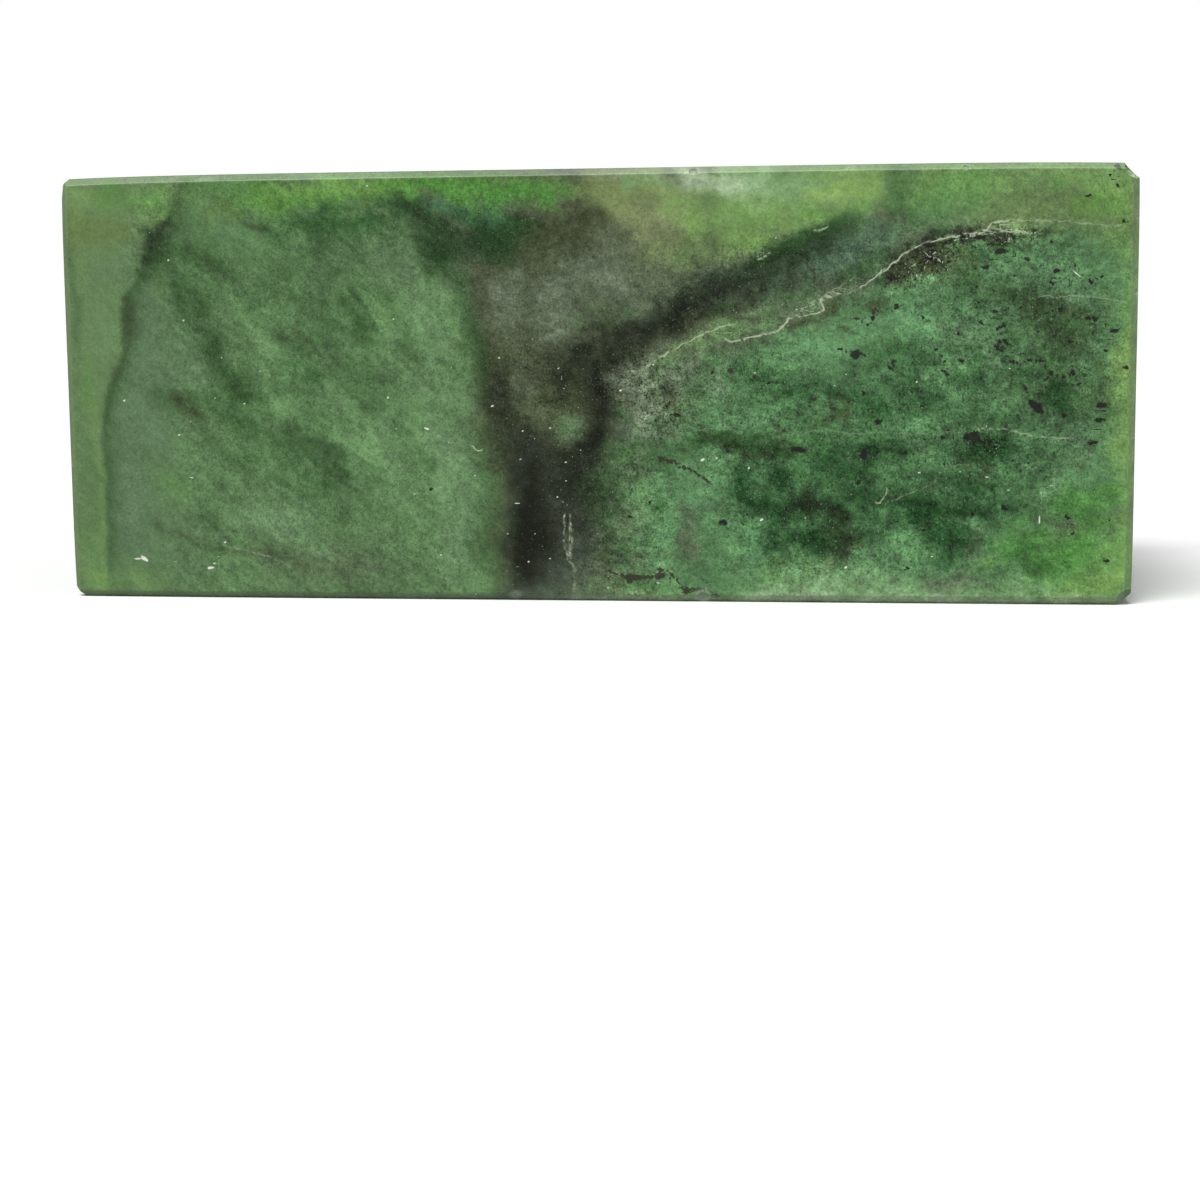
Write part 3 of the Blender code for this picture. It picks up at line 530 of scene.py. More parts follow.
    patchy("emeraldDark", 0.78, 0.76, 1.8, 1.4, (45.6, 11.6, 0.6), (46.6, 12.4, 0.4), (46.8, 10.2, 0.5)),
    patchy("emeraldLight", 0.45, 0.62, 2.6, 2, (38.6, 10, 0.9), (41, 9.4, 1.2), (44, 8.6, 1)),
    patchy("emeraldLight", 0.4, 0.6, 2.6, 2, (42.6, 17.6, 1), (46, 18.6, 1.2), (49, 20.8, 1),
           (50.6, 22, 0.9)),
    patchy("ash", 0.45, 0.6, 1.8, 1.5, (46.6, 21.4, 0.8), (49, 20.6, 1), (50.6, 22.4, 0.6)),
    patchy("emeraldDark", 1, 0.85, 1.8, 1.5, (52, 21, 0.8), (54.6, 21.6, 1), (57, 21.4, 0.9),
           (58.6, 20.8, 0.5)),
    patchy("peat", 0.88, 0.8, 2.6, 1.6, (53.6, 19.4, 0.8), (55, 18.6, 0.9), (52.4, 20, 0.6)),
    patchy("emeraldDark", 0.68, 0.7, 2.6, 1.8, (50, 16.4, 0.8), (54, 17, 0.8), (57, 16.4, 0.5)),
    patchy("emeraldLight", 0.4, 0.62, 2.6, 2, (58, 17.6, 1), (60.6, 17.4, 1), (59.6, 21.8, 1)),
    patchy("mossDark", 0.83, 0.76, 1.8, 1.6, (61, 15.6, 0.7), (63, 14.6, 0.8), (63, 12, 0.6),
           (61, 13.4, 0.6)),
    patchy("taupe", 0.5, 0.6, 1.8, 1.8, (64, 18.6, 0.8), (66, 19.6, 0.9), (68.6, 20.6, 0.8)),
    soft("sage", 0.6, 1.8, (64.4, 16.4, 0.7), (66, 17, 0.6)),
    soft("vivid", 0.7, 2.6, (65.6, 14.4, 0.9), (69, 14.2, 1.6), (71.6, 15, 1.2), (70, 12, 1)),
    soft("leafDeep", 0.4, 1.2, (71, 15, 0.5), (72, 14, 0.4)),
    soft("taupe", 0.5, 1.8, (48, 1.6, 0.6), (52, 2.6, 1.1), (55.6, 2.2, 0.7)),
    patchy("taupe", 0.85, 0.7, 2.6, 1.5, (46.6, 2.6, 0.5), (50, 3, 1), (53, 3.6, 1), (55, 4, 0.5)),
    patchy("taupe", 0.7, 0.6, 1.8, 1.2, (52.6, 6.6, 0.7), (54, 9, 0.6), (56.4, 11.6, 0.5), (58, 13, 0.3)),
    soft("fern", 0.7, 1.6, (57.6, 9, 0.5), (59.4, 10.8, 0.8), (60.6, 11.4, 0.5)),
    soft("grass", 0.65, 1.2, (54.6, 6, 0.5), (55.8, 6.4, 0.6)),
    soft("vivid", 0.65, 2, (57.6, 7.6, 0.9), (60.6, 8, 1.2), (63, 9.4, 1)),
    patchy("leafDeep", 0.68, 0.72, 1.8, 1.6, (60.2, 7, 0.8), (60.6, 5.2, 0.7), (62.4, 4.4, 0.6)),
    soft("leafDeep", 0.45, 2.4, (60, 6.8, 1.2), (62.6, 4.6, 1)),
    soft("leafDeep", 0.3, 3, (62, 5.6, 1.4), (66.6, 6.4, 2), (69, 10, 1.6)),
    soft("vivid", 0.6, 2.6, (63, 5.6, 1), (66.6, 6.6, 1.6), (68, 9, 1)),
    soft("emeraldDark", 0.75, 1.6, (21.6, 18.6, 0.5), (21.4, 17.2, 0.7)),
    soft("emeraldDark", 0.75, 1.6, (22.4, 14.8, 0.3), (24.4, 14.4, 0.5), (26.4, 14.6, 0.8)),
    soft("emeraldDark", 0.7, 1.5, (27, 18, 0.5)),
    soft("emeraldDark", 0.7, 1.8, (25.6, 11, 0.4), (26.4, 9.6, 0.7)),
    soft("emeraldDark", 0.8, 1.8, (29.4, 10, 0.6), (30.8, 9, 0.9), (32.6, 8.4, 0.5)),
    soft("pitch", 0.75, 2, (28.6, 14, 0.4), (31, 14.4, 1), (33, 13.8, 0.5)),
    soft("mossDeep", 0.7, 2.2, (34.4, 11, 1.2), (36, 8.4, 1.2), (37, 6.6, 0.6)),
    soft("emeraldDark", 0.6, 1.8, (38, 15.4, 0.6), (40.4, 13.4, 0.8)),
    soft("emeraldDark", 0.6, 1.5, (45, 14, 0.4), (48.4, 14, 0.7), (53, 13.2, 0.4)),
    soft("emeraldDark", 0.65, 1.8, (49, 9.6, 0.7), (52, 9.2, 1)),
    soft("emeraldDark", 0.6, 1.5, (52.6, 20.4, 0.7), (56, 21, 0.7), (58, 20.6, 0.4)),
    soft("emeraldDark", 0.55, 1.8, (64.6, 28.2, 1)),
    soft("mossDeep", 0.5, 2.4, (65, 40.4, 0.8), (67, 40, 0.8), (65.6, 36.4, 1.2)),
    soft("mossDeep", 0.4, 1.4, (54.6, 41.6, 0.3), (59, 41.4, 0.4), (63, 41, 0.4)),
    soft("leafDeep", 0.5, 1, (15, 22, 0.3), (19, 22.2, 0.5), (24, 22.2, 0.4), (30, 21.6, 0.6)),
    patchy("emeraldLight", 0.5, 0.6, 2.6, 2.4, (24, 33.6, 1.2), (30, 34.6, 1.4), (35, 37, 1.6),
           (41, 38.6, 1.6)),
    patchy("emeraldLight", 0.5, 0.6, 1.8, 1.6, (7, 16, 0.8), (16.6, 14.8, 1.2), (8.4, 9.4, 1.4),
           (23.4, 11.2, 1)),
    soft("emeraldDark", 0.6, 1.2, (25.6, 17.8, 0.4), (27.8, 17.6, 0.4)),
    soft("pitch", 0.6, 1.2, (30.6, 14.8, 0.6), (32, 13.8, 0.4)),
    soft("emeraldDark", 0.6, 1.2, (32.8, 20, 0.4), (35, 20.4, 0.5)),
    soft("pitch", 0.5, 1.4, (35.4, 12, 0.6), (36.6, 8.6, 0.7), (37, 6.4, 0.5)),
    soft("emeraldDark", 0.5, 1.2, (41.6, 15.8, 0.3), (46.4, 14.2, 0.5)),
    # light that comes in at the right end and along the foot
    soft("grass", 0.4, 4, (71, 4, 1), (74, 12, 0.6), (74, 20, 1.4), (74, 30, 1.6), (75, 40, 1),
         (75, 50, 1)),
    soft("lime", 0.55, 3, (75.6, 8, 0.8), (75.2, 14, 0.8), (74.6, 20, 2.2), (74.6, 30, 1.8),
         (75.6, 38, 0.8), (76, 50, 0.4)),
    soft("lime", 0.6, 2.6, (65, 0.4, 0.8), (69.6, 1, 1.5), (73.4, 3, 1.5), (75, 6, 1)),
    soft("mint", 0.8, 2.6, (24, 1, 0.6), (32, 2, 1), (37, 2.6, 1.5), (42, 2, 1.2), (48, 0.6, 0.8),
         (56, 1, 1.2), (63, 1.4, 1)),
    soft("mint", 0.5, 1.5, (4, 0, 0.2), (12, 0.6, 0.4), (20, 0.6, 0.4), (26, 0.6, 0.4), (34, 0.8, 0.6)),
    soft("foot", 0.6, 0.8, (-8, -0.2, 0.2), (4, 0, 0.7), (40, 0, 0.9), (68, 0, 0.8), (74, 0, 0.5)),
    soft("mint", 0.25, 1, (75.8, 0, 0.3), (75.8, 30, 0.3), (75.8, 58, 0.3)),
    soft("mint", 0.3, 1.6, (-10, 0, 0.1), (4, 0, 0.4)),
]
# how grainy the stone is, as soft strokes over the front face: level, softness and points
graininess = (
    (0.55, 6, (-60, 30, 60), (20, 30, 60)),
    (0.22, 3, (-78, 60, 12), (-80, 0, 12)),
    (0.35, 3, (-55, 53, 3), (-48, 50, 2)),
    (0.28, 5, (-64, 44, 2), (-64, 4, 4)),
    (0.65, 6, (-14, 56, 4), (-8, 40, 8), (2, 40, 8)),
    (0.8, 4, (-8, 30, 5), (-2, 24, 2)),
    (0.3, 3, (-9, 16, 3), (-9, 2, 3)),
    (0.95, 4, (6, 16, 5), (6, 4, 5)),
    (1.1, 4, (9, 28, 4), (14, 30, 4)),
    (0.85, 4, (14, 41, 4), (26, 45, 5), (34, 46, 4), (48, 46, 4), (60, 46, 5)),
    (1.0, 6, (24, 28, 8), (30, 14, 10), (50, 20, 14), (60, 32, 14)),
    (0.28, 4, (4, 57, 3), (20, 56, 5), (40, 57, 3)),
    (0.45, 4, (48, 56, 3), (72, 57, 4)),
    (0.7, 5, (62, 8, 6), (70, 12, 6)),
    (0.45, 4, (76, -2, 2), (75.4, 20, 1.6), (76, 56, 1)),
    (1.7, 2.4, (42.6, 45, 1), (47, 46.8, 1.8), (53, 50, 1), (60, 50.6, 0.8)),
    (1.5, 2.6, (3, 30.4, 1), (8, 33.6, 1.2), (11, 26, 2)),
    (1.2, 2, (55, 22, 1.6), (60, 20, 2)),
)


brush = {
    # mm, the clouds that push the strokes about and roughen their rims
    "wideCloud": 11, "fineCloud": 2.6, "grainCloud": 3.2,
    "lineShift": (0.25, 0.12),  # mm that the wide and the fine cloud move a line
    "strokeShift": (0.25, 0.1),  # the same for a stroke with a hard rim
    "softShift": (0.6, 0.3), "loosest": 2,  # how much more for a soft one, in full from this softness on
    "ragged": 0.22,  # of the softness, how much the grain roughens a rim
    "blotch": 1.6,  # cloud size over blotch size
    "lean": 36, "turnsLevel": (-22, -2),  # degrees, and between which x the clouds turn level, in mm
    "leanStretch": (0.6, 1.15), "levelStretch": (0.8, 1.15),  # under 1 draws a cloud out, along and across
}
# lumps of felted crystals: size in mm and contrast, nearly the same at every size, so that the stone looks
# clouded from near and far
mottling = ((9, 1.1), (4.6, 1.3), (2.4, 1.7), (1.25, 2.1))
mottleStrength = 0.018


def leaningCloud(points, size, octaves, seed, rough=0.5):
    # clouds that lean down to the right in the left half of the face and lie level in the right half
    x, y, z = points.T
    lean = math.radians(brush["lean"])
    along = x * math.cos(lean) - z * math.sin(lean)
    across = x * math.sin(lean) + z * math.cos(lean)
    level = ease(*brush["turnsLevel"], x + cloud(points, 9, 2, 9) * 2)
    found = np.zeros(len(points))
    for right, up, stretch, share in ((along, across, brush["leanStretch"], 1 - level),
                                      (x, z, brush["levelStretch"], level)):
        near = share > 0
        places = np.stack((right * stretch[0], y, up * stretch[1]), axis=1)[near]
        found[near] += cloud(places, size, octaves, seed, rough) * share[near]
    return found


def strokeNear(area, x, z):
    # which places a stroke can reach: the clouds move it by up to 1.6 of its softness and 2.5 mm
    span = np.array(area["points"])
    margin = span[:, 2].max() + area["softness"] * 1.6 + 2.5
    left, foot = span[:, :2].min(axis=0) - margin
    right, head = span[:, :2].max(axis=0) + margin
    return np.flatnonzero((x > left) & (x < right) & (z > foot) & (z < head))


def paintStone(points):
    # the stone's colour at points in mm, where y is the depth that the noise varies with
    x, z = points[:, 0], points[:, 2]
    wide = [cloud(points, brush["wideCloud"], 3, seed) for seed in (11, 12)]
    fine = [cloud(points, brush["fineCloud"], 4, seed, 0.6) for seed in (13, 14)]
    grain = leaningCloud(points, brush["grainCloud"], 5, 15, 0.7)
    blotches = {}
    colour = np.tile(fromHex(palette["moss"]), (len(x), 1))
    for area in pattern:
        spread = area["softness"]
        if area["kind"] in ("soft", "patchy"):
            near = strokeNear(area, x, z)
            if not len(near):
                continue
            loose = min(1, spread / brush["loosest"])
            wideShift, fineShift = (least + more * loose for least, more in
                                    zip(brush["strokeShift"], brush["softShift"]))
            shifted = [side[near] + big[near] * wideShift + small[near] * fineShift
                       for side, big, small in zip((x, z), wide, fine)]
            off = strokeReach(area["points"], *shifted) + grain[near] * spread * brush["ragged"]
            share = ease(spread, -spread * 0.7, off) * area["strength"]
            if area["kind"] == "patchy":
                size = area["size"]
                if size not in blotches:
                    seed = 70 + len(blotches) * 7
                    blotches[size] = leaningCloud(points, size * brush["blotch"], 5, seed, 0.62)
                level = 1.3 * (0.5 - area["cover"]) * 2  # the cloud is above this in the blotches
                share = share * ease(level - 0.5, level + 0.5, blotches[size][near])
        else:
            near = slice(None)
            wideShift, fineShift = brush["lineShift"]
            shifted = [side + big * wideShift + small * fineShift
                       for side, big, small in zip((x, z), wide, fine)]
            off, along = lineReach(area["curve"], *shifted)
            if area["kind"] == "beyond":
                share = ease(-spread, spread, off * area["side"]) * area["strength"]
            else:
                share = ease(-spread, spread * 1.2, off) * np.interp(along, *np.transpose(area["levels"]))
                share = share * np.exp(-np.clip(off, 0, None) / area["width"] * 1.3)
        colour[near] += (fromHex(palette[area["colour"]]) - colour[near]) * share[:, None]
    return colour


def feltOf(points):
    level = np.zeros(len(points))
    for value, softness, *stroke in graininess:
        off = strokeReach(stroke, points[:, 0], points[:, 2])
        level += (value - level) * ease(softness, -softness * 0.5, off)
    return level


def mottle(points, colour, felt):
    # the lumps of a cloud 0.62 of a size look that size, and light stone shows them more
    lift = np.zeros(len(points))
    for size, share in mottling:
        lift += leaningCloud(points, size * 0.62, 1, int(size * 31)) * share
    return colour + (lift * felt * mottleStrength)[:, None] * (0.15 + colour * 2.2)


# Small sharp marks on the front face, all in mm: (half width, half height, turn, tone) and the places
# they are found at. The tone is 0 for black grains and 1 for brown ones.
grains = (
    (0.26, 0.2, 20, 0, (
        (53.9, 41.4), (53.8, 43.5), (58.8, 45), (63.9, 43.9), (70.6, 44.7), (63.1, 39.9), (68.6, 39.1),
        (62, 37.3), (57.4, 38.3), (69.4, 37.1), (56.9, 36.1), (62.5, 33.4), (59.8, 33), (63.1, 30.9),
        (65.6, 31.2), (68.5, 32.5), (67.7, 30.2), (49.5, 33.4), (49.3, 32.2), (49.9, 31.6), (48.4, 35),
        (39.7, 39.4), (42.6, 33.5), (38.7, 34.3), (46.6, 39.4), (60.5, 29.7), (71.4, 58.1), (68.6, 55.4),
        (25.5, 30.6), (35.2, 35.2), (8.8, 13.9), (46.4, 27.3), (44.7, 5), (67.2, 9.9), (72.2, 11.7),
        (-22.4, 15.8), (46.9, 10.3), (53.6, 12.5), (49.7, 19.3), (47, 22.8), (40.4, 21.1), (61.4, 42.8),
        (56.2, 40.2), (59.6, 40.6), (51.2, 37.2), (66.4, 36), (71.2, 34.6), (45.4, 31.2),
    )),
    (0.34, 0.26, -25, 0, (
        (54.4, 38.6), (66.9, 46.1), (69.1, 44), (69.7, 39), (56.7, 37.8), (58.7, 33.3), (61, 33.5),
        (63.9, 31.7), (66.9, 31.7), (74, 32.3), (51.8, 33.5), (54.5, 31), (39.2, 38.5), (42.2, 32.6),
        (37.2, 31.7), (42.9, 40.9), (72.5, 59.1), (72.3, 56.7), (73.5, 51.9), (17.7, 32), (10.8, 29.9),
        (6, 11.9), (28.1, 13), (12.7, 26.2), (37.9, 16.8), (66.4, 12), (71.9, 6.1), (38.7, 29.1),
        (57.8, 13.3), (49.4, 23.1), (44.4, 21), (65.9, 25.9),
    )),
    (0.6, 0.3, 10, 0, (
        (54.7, 46.1), (64.5, 45.5), (65, 40.3), (72.4, 37.3), (40.5, 25.2), (70.7, 25.3), (55.9, 22.4),
    )),
    (0.7, 0.24, -35, 0, ((56.8, 35.1), (57.9, 35.9), (51.9, 50.3), (58.6, 50.1))),
    (0.55, 0.4, 0, 0, ((19.2, 11.2), (69.8, 22.2))),
    (0.42, 0.26, 0, 0, ((60.5, 47.1), (63.6, 49.4))),
    (0.75, 0.7, 0, 0, ((37.4, 34.5),)),
    (0.5, 0.75, 0, 0, ((38.6, 20.7),)),
    (0.85, 0.36, 0, 0, ((71, 27.3), (56.8, 48.2), (47.2, 49.2), (54, 50.2))),
    (0.95, 0.62, 0, 0, ((53, 23.1),)),
    (0.6, 0.5, 30, 0, ((54, 22.7), (53.7, 23.5))),
    (0.9, 0.5, -45, 0, ((61.6, 27.5),)),
    (0.55, 0.4, -20, 0, ((62.5, 26.6), (62.2, 27.3))),
    (1.2, 0.45, 0, 0, ((29.5, 21.4),)),
    (0.4, 0.3, 0, 1, (
        (40, 40.4), (37.5, 39.4), (20.1, 32.3), (23.5, 31.4), (10, 4.5), (10.4, 20.1), (13.3, 19),
    )),
    (1.1, 0.16, -20, 1, ((3.7, 4),)),
    (2, 0.42, -2, 1, ((6.5, 3.4),)),
    (0.5, 0.3, 0, 1, ((5.9, 2.8), (10.4, 4.5))),
    (0.8, 0.22, 0, 1, ((8.8, 3.5), (15.9, 1.9), (14, 18.8))),
    (1, 0.42, 12, 1, ((10.2, 3.6),)),
    (1, 0.18, -40, 1, ((11.9, 3.8), (15.4, 18.1), (16.8, 17.1))),
    (0.6, 0.55, 0, 1, ((13.9, 1.5),)),
    (0.2, 0.8, 8, 1, ((12.9, 2.7),)),
    (0.7, 0.28, 0, 1, ((18, 0.9), (11.8, 19.7))),
    (0.26, 0.18, 0, 1, (
        (26.8, 24.8), (27.6, 24), (31.6, 28.4), (32.4, 28.6), (35.6, 28.7), (34.4, 27), (15.6, 22.6),
    )),
)
# White specks and dust fibres' ends, in the same way. The tone is how bright they are.
motes = (
    (0.6, 0.24, -40, 1, ((-64.7, 5.5),)),
    (0.5, 0.17, 5, 1, ((-54.9, 4.3),)),
    (0.45, 0.11, 0, 0.8, ((-57.3, 17.3), (-54.2, 4.9), (-10, 13.8), (-65.8, 5.5))),
    (0.2, 0.11, 30, 1, (
        (-52.7, 8), (-53.6, 28.7), (-67.1, 28.3), (-59.1, 23.4), (-22.7, 24.2), (4.8, 29.6), (22.7, 18.8),
        (24.5, 11.6), (45.7, 30.6), (48.1, 6.6), (-13.4, 27.5), (-4, 32.7), (16.3, 20), (36.2, 5),
        (-23.1, 24.4),
    )),
    (0.11, 0.08, 20, 0.75, (
        (-57.3, 25.3), (-49.3, 27.9), (-60, 48.2), (-58, 39.7), (-64.9, 36.1), (-52.5, 34.4),
        (-46.9, 32.5), (-62.6, 52.1), (-9.1, 24), (-7.4, 22.9), (-9.5, 20), (-11.4, 9.5), (-7.5, 9.5),
        (-8.4, 5.5), (-5.4, 6), (-11.6, 4.2), (-3.2, 29.9), (-0.9, 21.3), (-28.4, 28.7), (-27.3, 24.3),
        (-19.7, 22.4), (-16, 17.7), (-24.7, 15.1), (-21.1, 6.4), (-16, 0.8), (-10, 0.7), (-15.7, 47.7),
        (-30.9, 58.2), (-19.2, 32.9), (-27.4, 39.7), (-25.7, 46.9), (18.2, 20.2), (16.9, 15.5),
        (30.6, 11.9), (2.9, 1.9), (9.9, 2.7), (23.5, 32), (36.1, 31.7), (34.5, 30.2), (46.2, 18.2),
        (51.8, 18.3), (56.7, 21.5), (58.3, 32.4), (62.8, 15.5), (-4.3, 14.7), (-3, 19.6), (-2.9, 13.6),
        (-3, 17), (-12.4, 34.2), (-7.6, 36.8), (9.4, 33.2), (-1.2, 27.2), (-5.2, 24.4), (1.4, 9.6),
        (3.6, 15.4),
    )),
    (0.1, 0.5, 0, 0.9, ((62.7, 11.7),)),
    (0.2, 0.06, 25, 0.5, (
        (44.6, 46.1), (45.3, 46.6), (47.4, 47.6), (48.1, 48.2), (49.6, 47.8), (50.8, 49.8), (53.4, 50.3),
        (54.6, 50.8), (56.9, 51), (60.3, 50.6), (41.2, 46), (40.2, 45.6), (29.2, 40.6), (30.4, 40.9),
        (31.6, 41.3), (26.4, 50.4),
    )),
    (0.06, 0.2, -12, 0.5, (
        (46.8, 48.1), (48.5, 47.2), (49.1, 46.9), (44.3, 44.6), (45.6, 45.1), (47, 46.9), (58, 49.8),
        (49.8, 45.8), (55.3, 24.5), (62.9, 15.4), (54, 50.6), (46.2, 45.2),
    )),
    (0.2, 0.07, 0, 0.6, (
        (52.3, 50), (58.2, 51.1), (59.4, 50.9), (61.5, 50.6), (57, 49.2), (64.2, 16.4), (62.4, 15.2),
        (55.4, 17.6), (58.4, 15.8), (32.4, 40.2), (10.2, 2.6),
    )),
    (0.6, 0.09, -40, 0.9, ((67.2, 45),)),
)
# Fine light lines, healed cracks filled with paler jade and dust fibres: half width, strength, how much
# of it is broken up, and its points, in mm
threads = (
    (0.09, 0.75, 0.35, ((8, 32.6), (10.6, 34.4), (12.8, 35.5), (14.9, 36.6), (17.4, 37.8), (18.9, 38.3),
     (20.8, 38.8))),
    (0.1, 0.8, 0.35, ((18.6, 36.9), (20.5, 36.3), (22.3, 36.7), (25, 37.2), (27.2, 38.1), (28.4, 39.4),
     (30, 39.7), (32.1, 40.1), (33, 40.7), (32.7, 41.8), (33.6, 42.4), (35.8, 42.8), (37.8, 43.1))),
    (0.1, 0.85, 0.35, ((37.4, 43), (39.1, 44.3), (40.6, 45.4), (42.1, 46.4), (43.4, 47.7), (44.9, 48.7),
     (46.7, 49.3), (48.3, 49.9), (50.4, 50.3), (52.5, 50.5), (55, 51.2), (55.6, 51.9), (57.1, 52.3),
     (59, 52.5))),
    (0.09, 0.4, 0.3, ((58, 52.4), (62, 52.2), (64.5, 52.2), (66.6, 52), (68.2, 51.7), (70, 51.5),
     (74, 51.4))),
    (0.06, 0.4, 0.7, ((28.7, 39.7), (30.9, 41.2), (33, 42.4), (35.2, 43.7), (37.4, 45))),
    (0.09, 0.7, 0.5, ((52.5, 50.1), (55, 50.6), (57.4, 50.9), (60.2, 50.5))),
    (0.09, 0.35, 0.3, ((62, 42.2), (64.8, 42), (68.2, 42.1), (70, 41.8), (71.8, 41.5), (74, 41.1))),
    (0.1, 0.14, 0.4, ((13.9, 23.7), (15.8, 24.2), (18.3, 24.3), (21, 24))),
    (0.1, 0.16, 0.4, ((28.2, 23.7), (30.1, 23.4), (31.6, 24), (33.8, 24.2), (36, 23.6), (40.7, 23.7),
     (45.3, 23.4), (49.1, 23.7), (53.4, 23.8))),
    (0.12, 0.45, 0.6, ((53.4, 23.8), (55.3, 24.3), (57.8, 24.1), (59.6, 23.7), (61.8, 23.2), (64, 22.9),
     (67.7, 22.9))),
    (0.1, 0.22, 0.6, ((41.9, 14), (45, 15.4), (48.4, 16.8), (49.4, 18.6), (52.5, 19.3), (54, 19.8))),
    (0.1, 0.3, 0.5, ((-53.2, 7.7), (-50.7, 7.1), (-48.5, 6.6), (-47, 6.3), (-45.1, 5.5), (-42.7, 4.3))),
    (0.08, 0.9, 0.9, ((-3.2, 12.6), (-3.3, 9.4), (-3, 6.4), (-2.7, 5.6))),
    (0.08, 0.9, 0.8, ((-2.4, 12.4), (-2.3, 9), (-2.6, 5.8), (-1.7, 4.2), (-1.9, 3.4), (-1.9, 0.6))),
    (0.1, 0.8, 0.3, ((23.8, 47.5), (24.6, 47.8), (25.6, 48.3))),
    (0.07, 0.5, 0.5, ((23.2, 48.6), (24.4, 49))),
    (0.1, 0.7, 0.5, ((31.6, 51.3), (32.6, 51.5), (33.6, 51.8))),
    (0.08, 0.85, 0, ((-16.5, 22), (-15.6, 21.3), (-14.7, 21.4))),
    (0.07, 0.7, 0, ((41.7, 16.3), (41.9, 15.8), (41.4, 14.7), (40.8, 13.9), (40.1, 14))),
    (0.09, 0.2, 0.5, ((19, 4), (23.3, 4.6), (25.7, 4.4), (28.9, 5), (32.6, 5.2), (35.7, 6.3))),
)
markSizes = {
    "small": 0.5,  # mm; marks with a half width under this are varied in size
    "least": 0.65, "range": 0.6,  # of the given size
}


def marksNear(groups, places):
    # for each place, the nearest mark's centre and tone and its two axes over its size, so that the
    # shader can draw it sharper than the mesh is fine
    marks = np.array([(x, z, *shape) for *shape, spots in groups for x, z in spots])
    small = marks[:, 2] < markSizes["small"]
    spread = np.arange(small.sum()) * 0.618 % 1  # even steps of the golden ratio
    marks[small, 2:4] *= (markSizes["least"] + markSizes["range"] * spread)[:, None]
    turn = np.radians(marks[:, 4])
    across = np.stack((np.cos(turn), turn * 0, np.sin(turn)), axis=1) / marks[:, 2:3]
    upward = np.stack((-np.sin(turn), turn * 0, np.cos(turn)), axis=1) / marks[:, 3:4]
    size = np.sqrt(marks[:, 2] * marks[:, 3])
    best, chosen = np.full(len(places), 1e9), np.zeros(len(places), int)
    for k, (x, z) in enumerate(marks[:, :2]):
        off = places - (x, 0, z)
        reach = (np.hypot(off @ across[k], off @ upward[k]) - 1) * size[k]
        nearer = reach < best
        best[nearer], chosen[nearer] = reach[nearer], k
    centre = np.stack((marks[:, 0], marks[:, 5], marks[:, 1]), axis=1)
    return centre[chosen], across[chosen], upward[chosen]


def threadsNear(places):
    # for each place, the nearest light line's distance in mm, half width and strength, and its gaps
    best = np.full(len(places), 1e9)
    found = np.zeros((len(places), 4))
    for width, strength, gaps, points in threads:  # each fades in and out at its ends
        off, along = lineReach(points, places[:, 0], places[:, 2])
        ends = ease(0, 0.05, along) * ease(1, 0.95, along)
        nearer = np.abs(off) < best
        best[nearer] = np.abs(off)[nearer]
        found[nearer] = np.stack((off, along * 0 + width, ends * strength, along * 0 + gaps), axis=1)[nearer]
    return found[:, :3], found[:, 3]


bedding = {
    "faceScale": (1.0077, 1.0055), "faceShift": -0.33,  # fits what is drawn on the face to the block, mm
    "right": 0.25, "down": 0.35,  # how far the jade's sheets lean and dip for each mm of depth
    "bend": 0.13, "bendSize": 38,  # how far they bend for each mm of depth, in bends this long in mm
    "turnEnds": 77, "turnTop": 60,  # mm, where the pattern turns back, so that it has no end on the block
    "footShear": 0.6,  # how far what is below the foot slides to the right as it turns back up
}


def stonePlace(co):
    # carries the front face's pattern into the stone: sheets that lean right and dip back, in mm
    depth = co[:, 1] / mm + half.y / mm
    spot = co / mm
    bend = [cloud(spot, bedding["bendSize"], 2, seed) * depth * bedding["bend"] for seed in (41, 42)]
    scaleX, scaleZ = bedding["faceScale"]
    x = spot[:, 0] * scaleX + bedding["faceShift"] + bedding["right"] * depth + bend[0]
    z = spot[:, 2] * scaleZ - bedding["down"] * depth + bend[1]
    ends, top = bedding["turnEnds"], bedding["turnTop"]
    x = np.where(x > ends, 2 * ends - x, x)
    x = np.where(x < -ends, -2 * ends - x, x)
    x = x + np.where(z < 0, -z * bedding["footShear"], 0)
    z = np.abs(z)
    z = np.where(z > top, 2 * top - z, z)
    return np.stack([x, spot[:, 1], z], axis=1)


# Shape

blockShape = {
    "leftLean": 0.40,  # mm, the left end was sawn a little out of square
    "rimFall": (0.38, 0.10, 0.14),  # mm, how far a face falls away towards its rims along x, y and z
    "rimSharpness": 6,
    "arris": 0.14,  # mm, how far the edges of the ground facets are eased
    "rimBand": (6, 3),  # mm in from a rim, where the fall starts and where it is full
    "cell": 1.25,  # mm, spacing of the mesh; the front face is three times finer
    "sharpFrom": 12,  # degrees between faces that meet at a sharp edge
    "facetsUnder": 0.96,  # a ground facet looks less than this much along any one axis
    "secondPass": (2.6, 0.45),  # mm, steeper cut on the top left edge: how far down, how far in
}
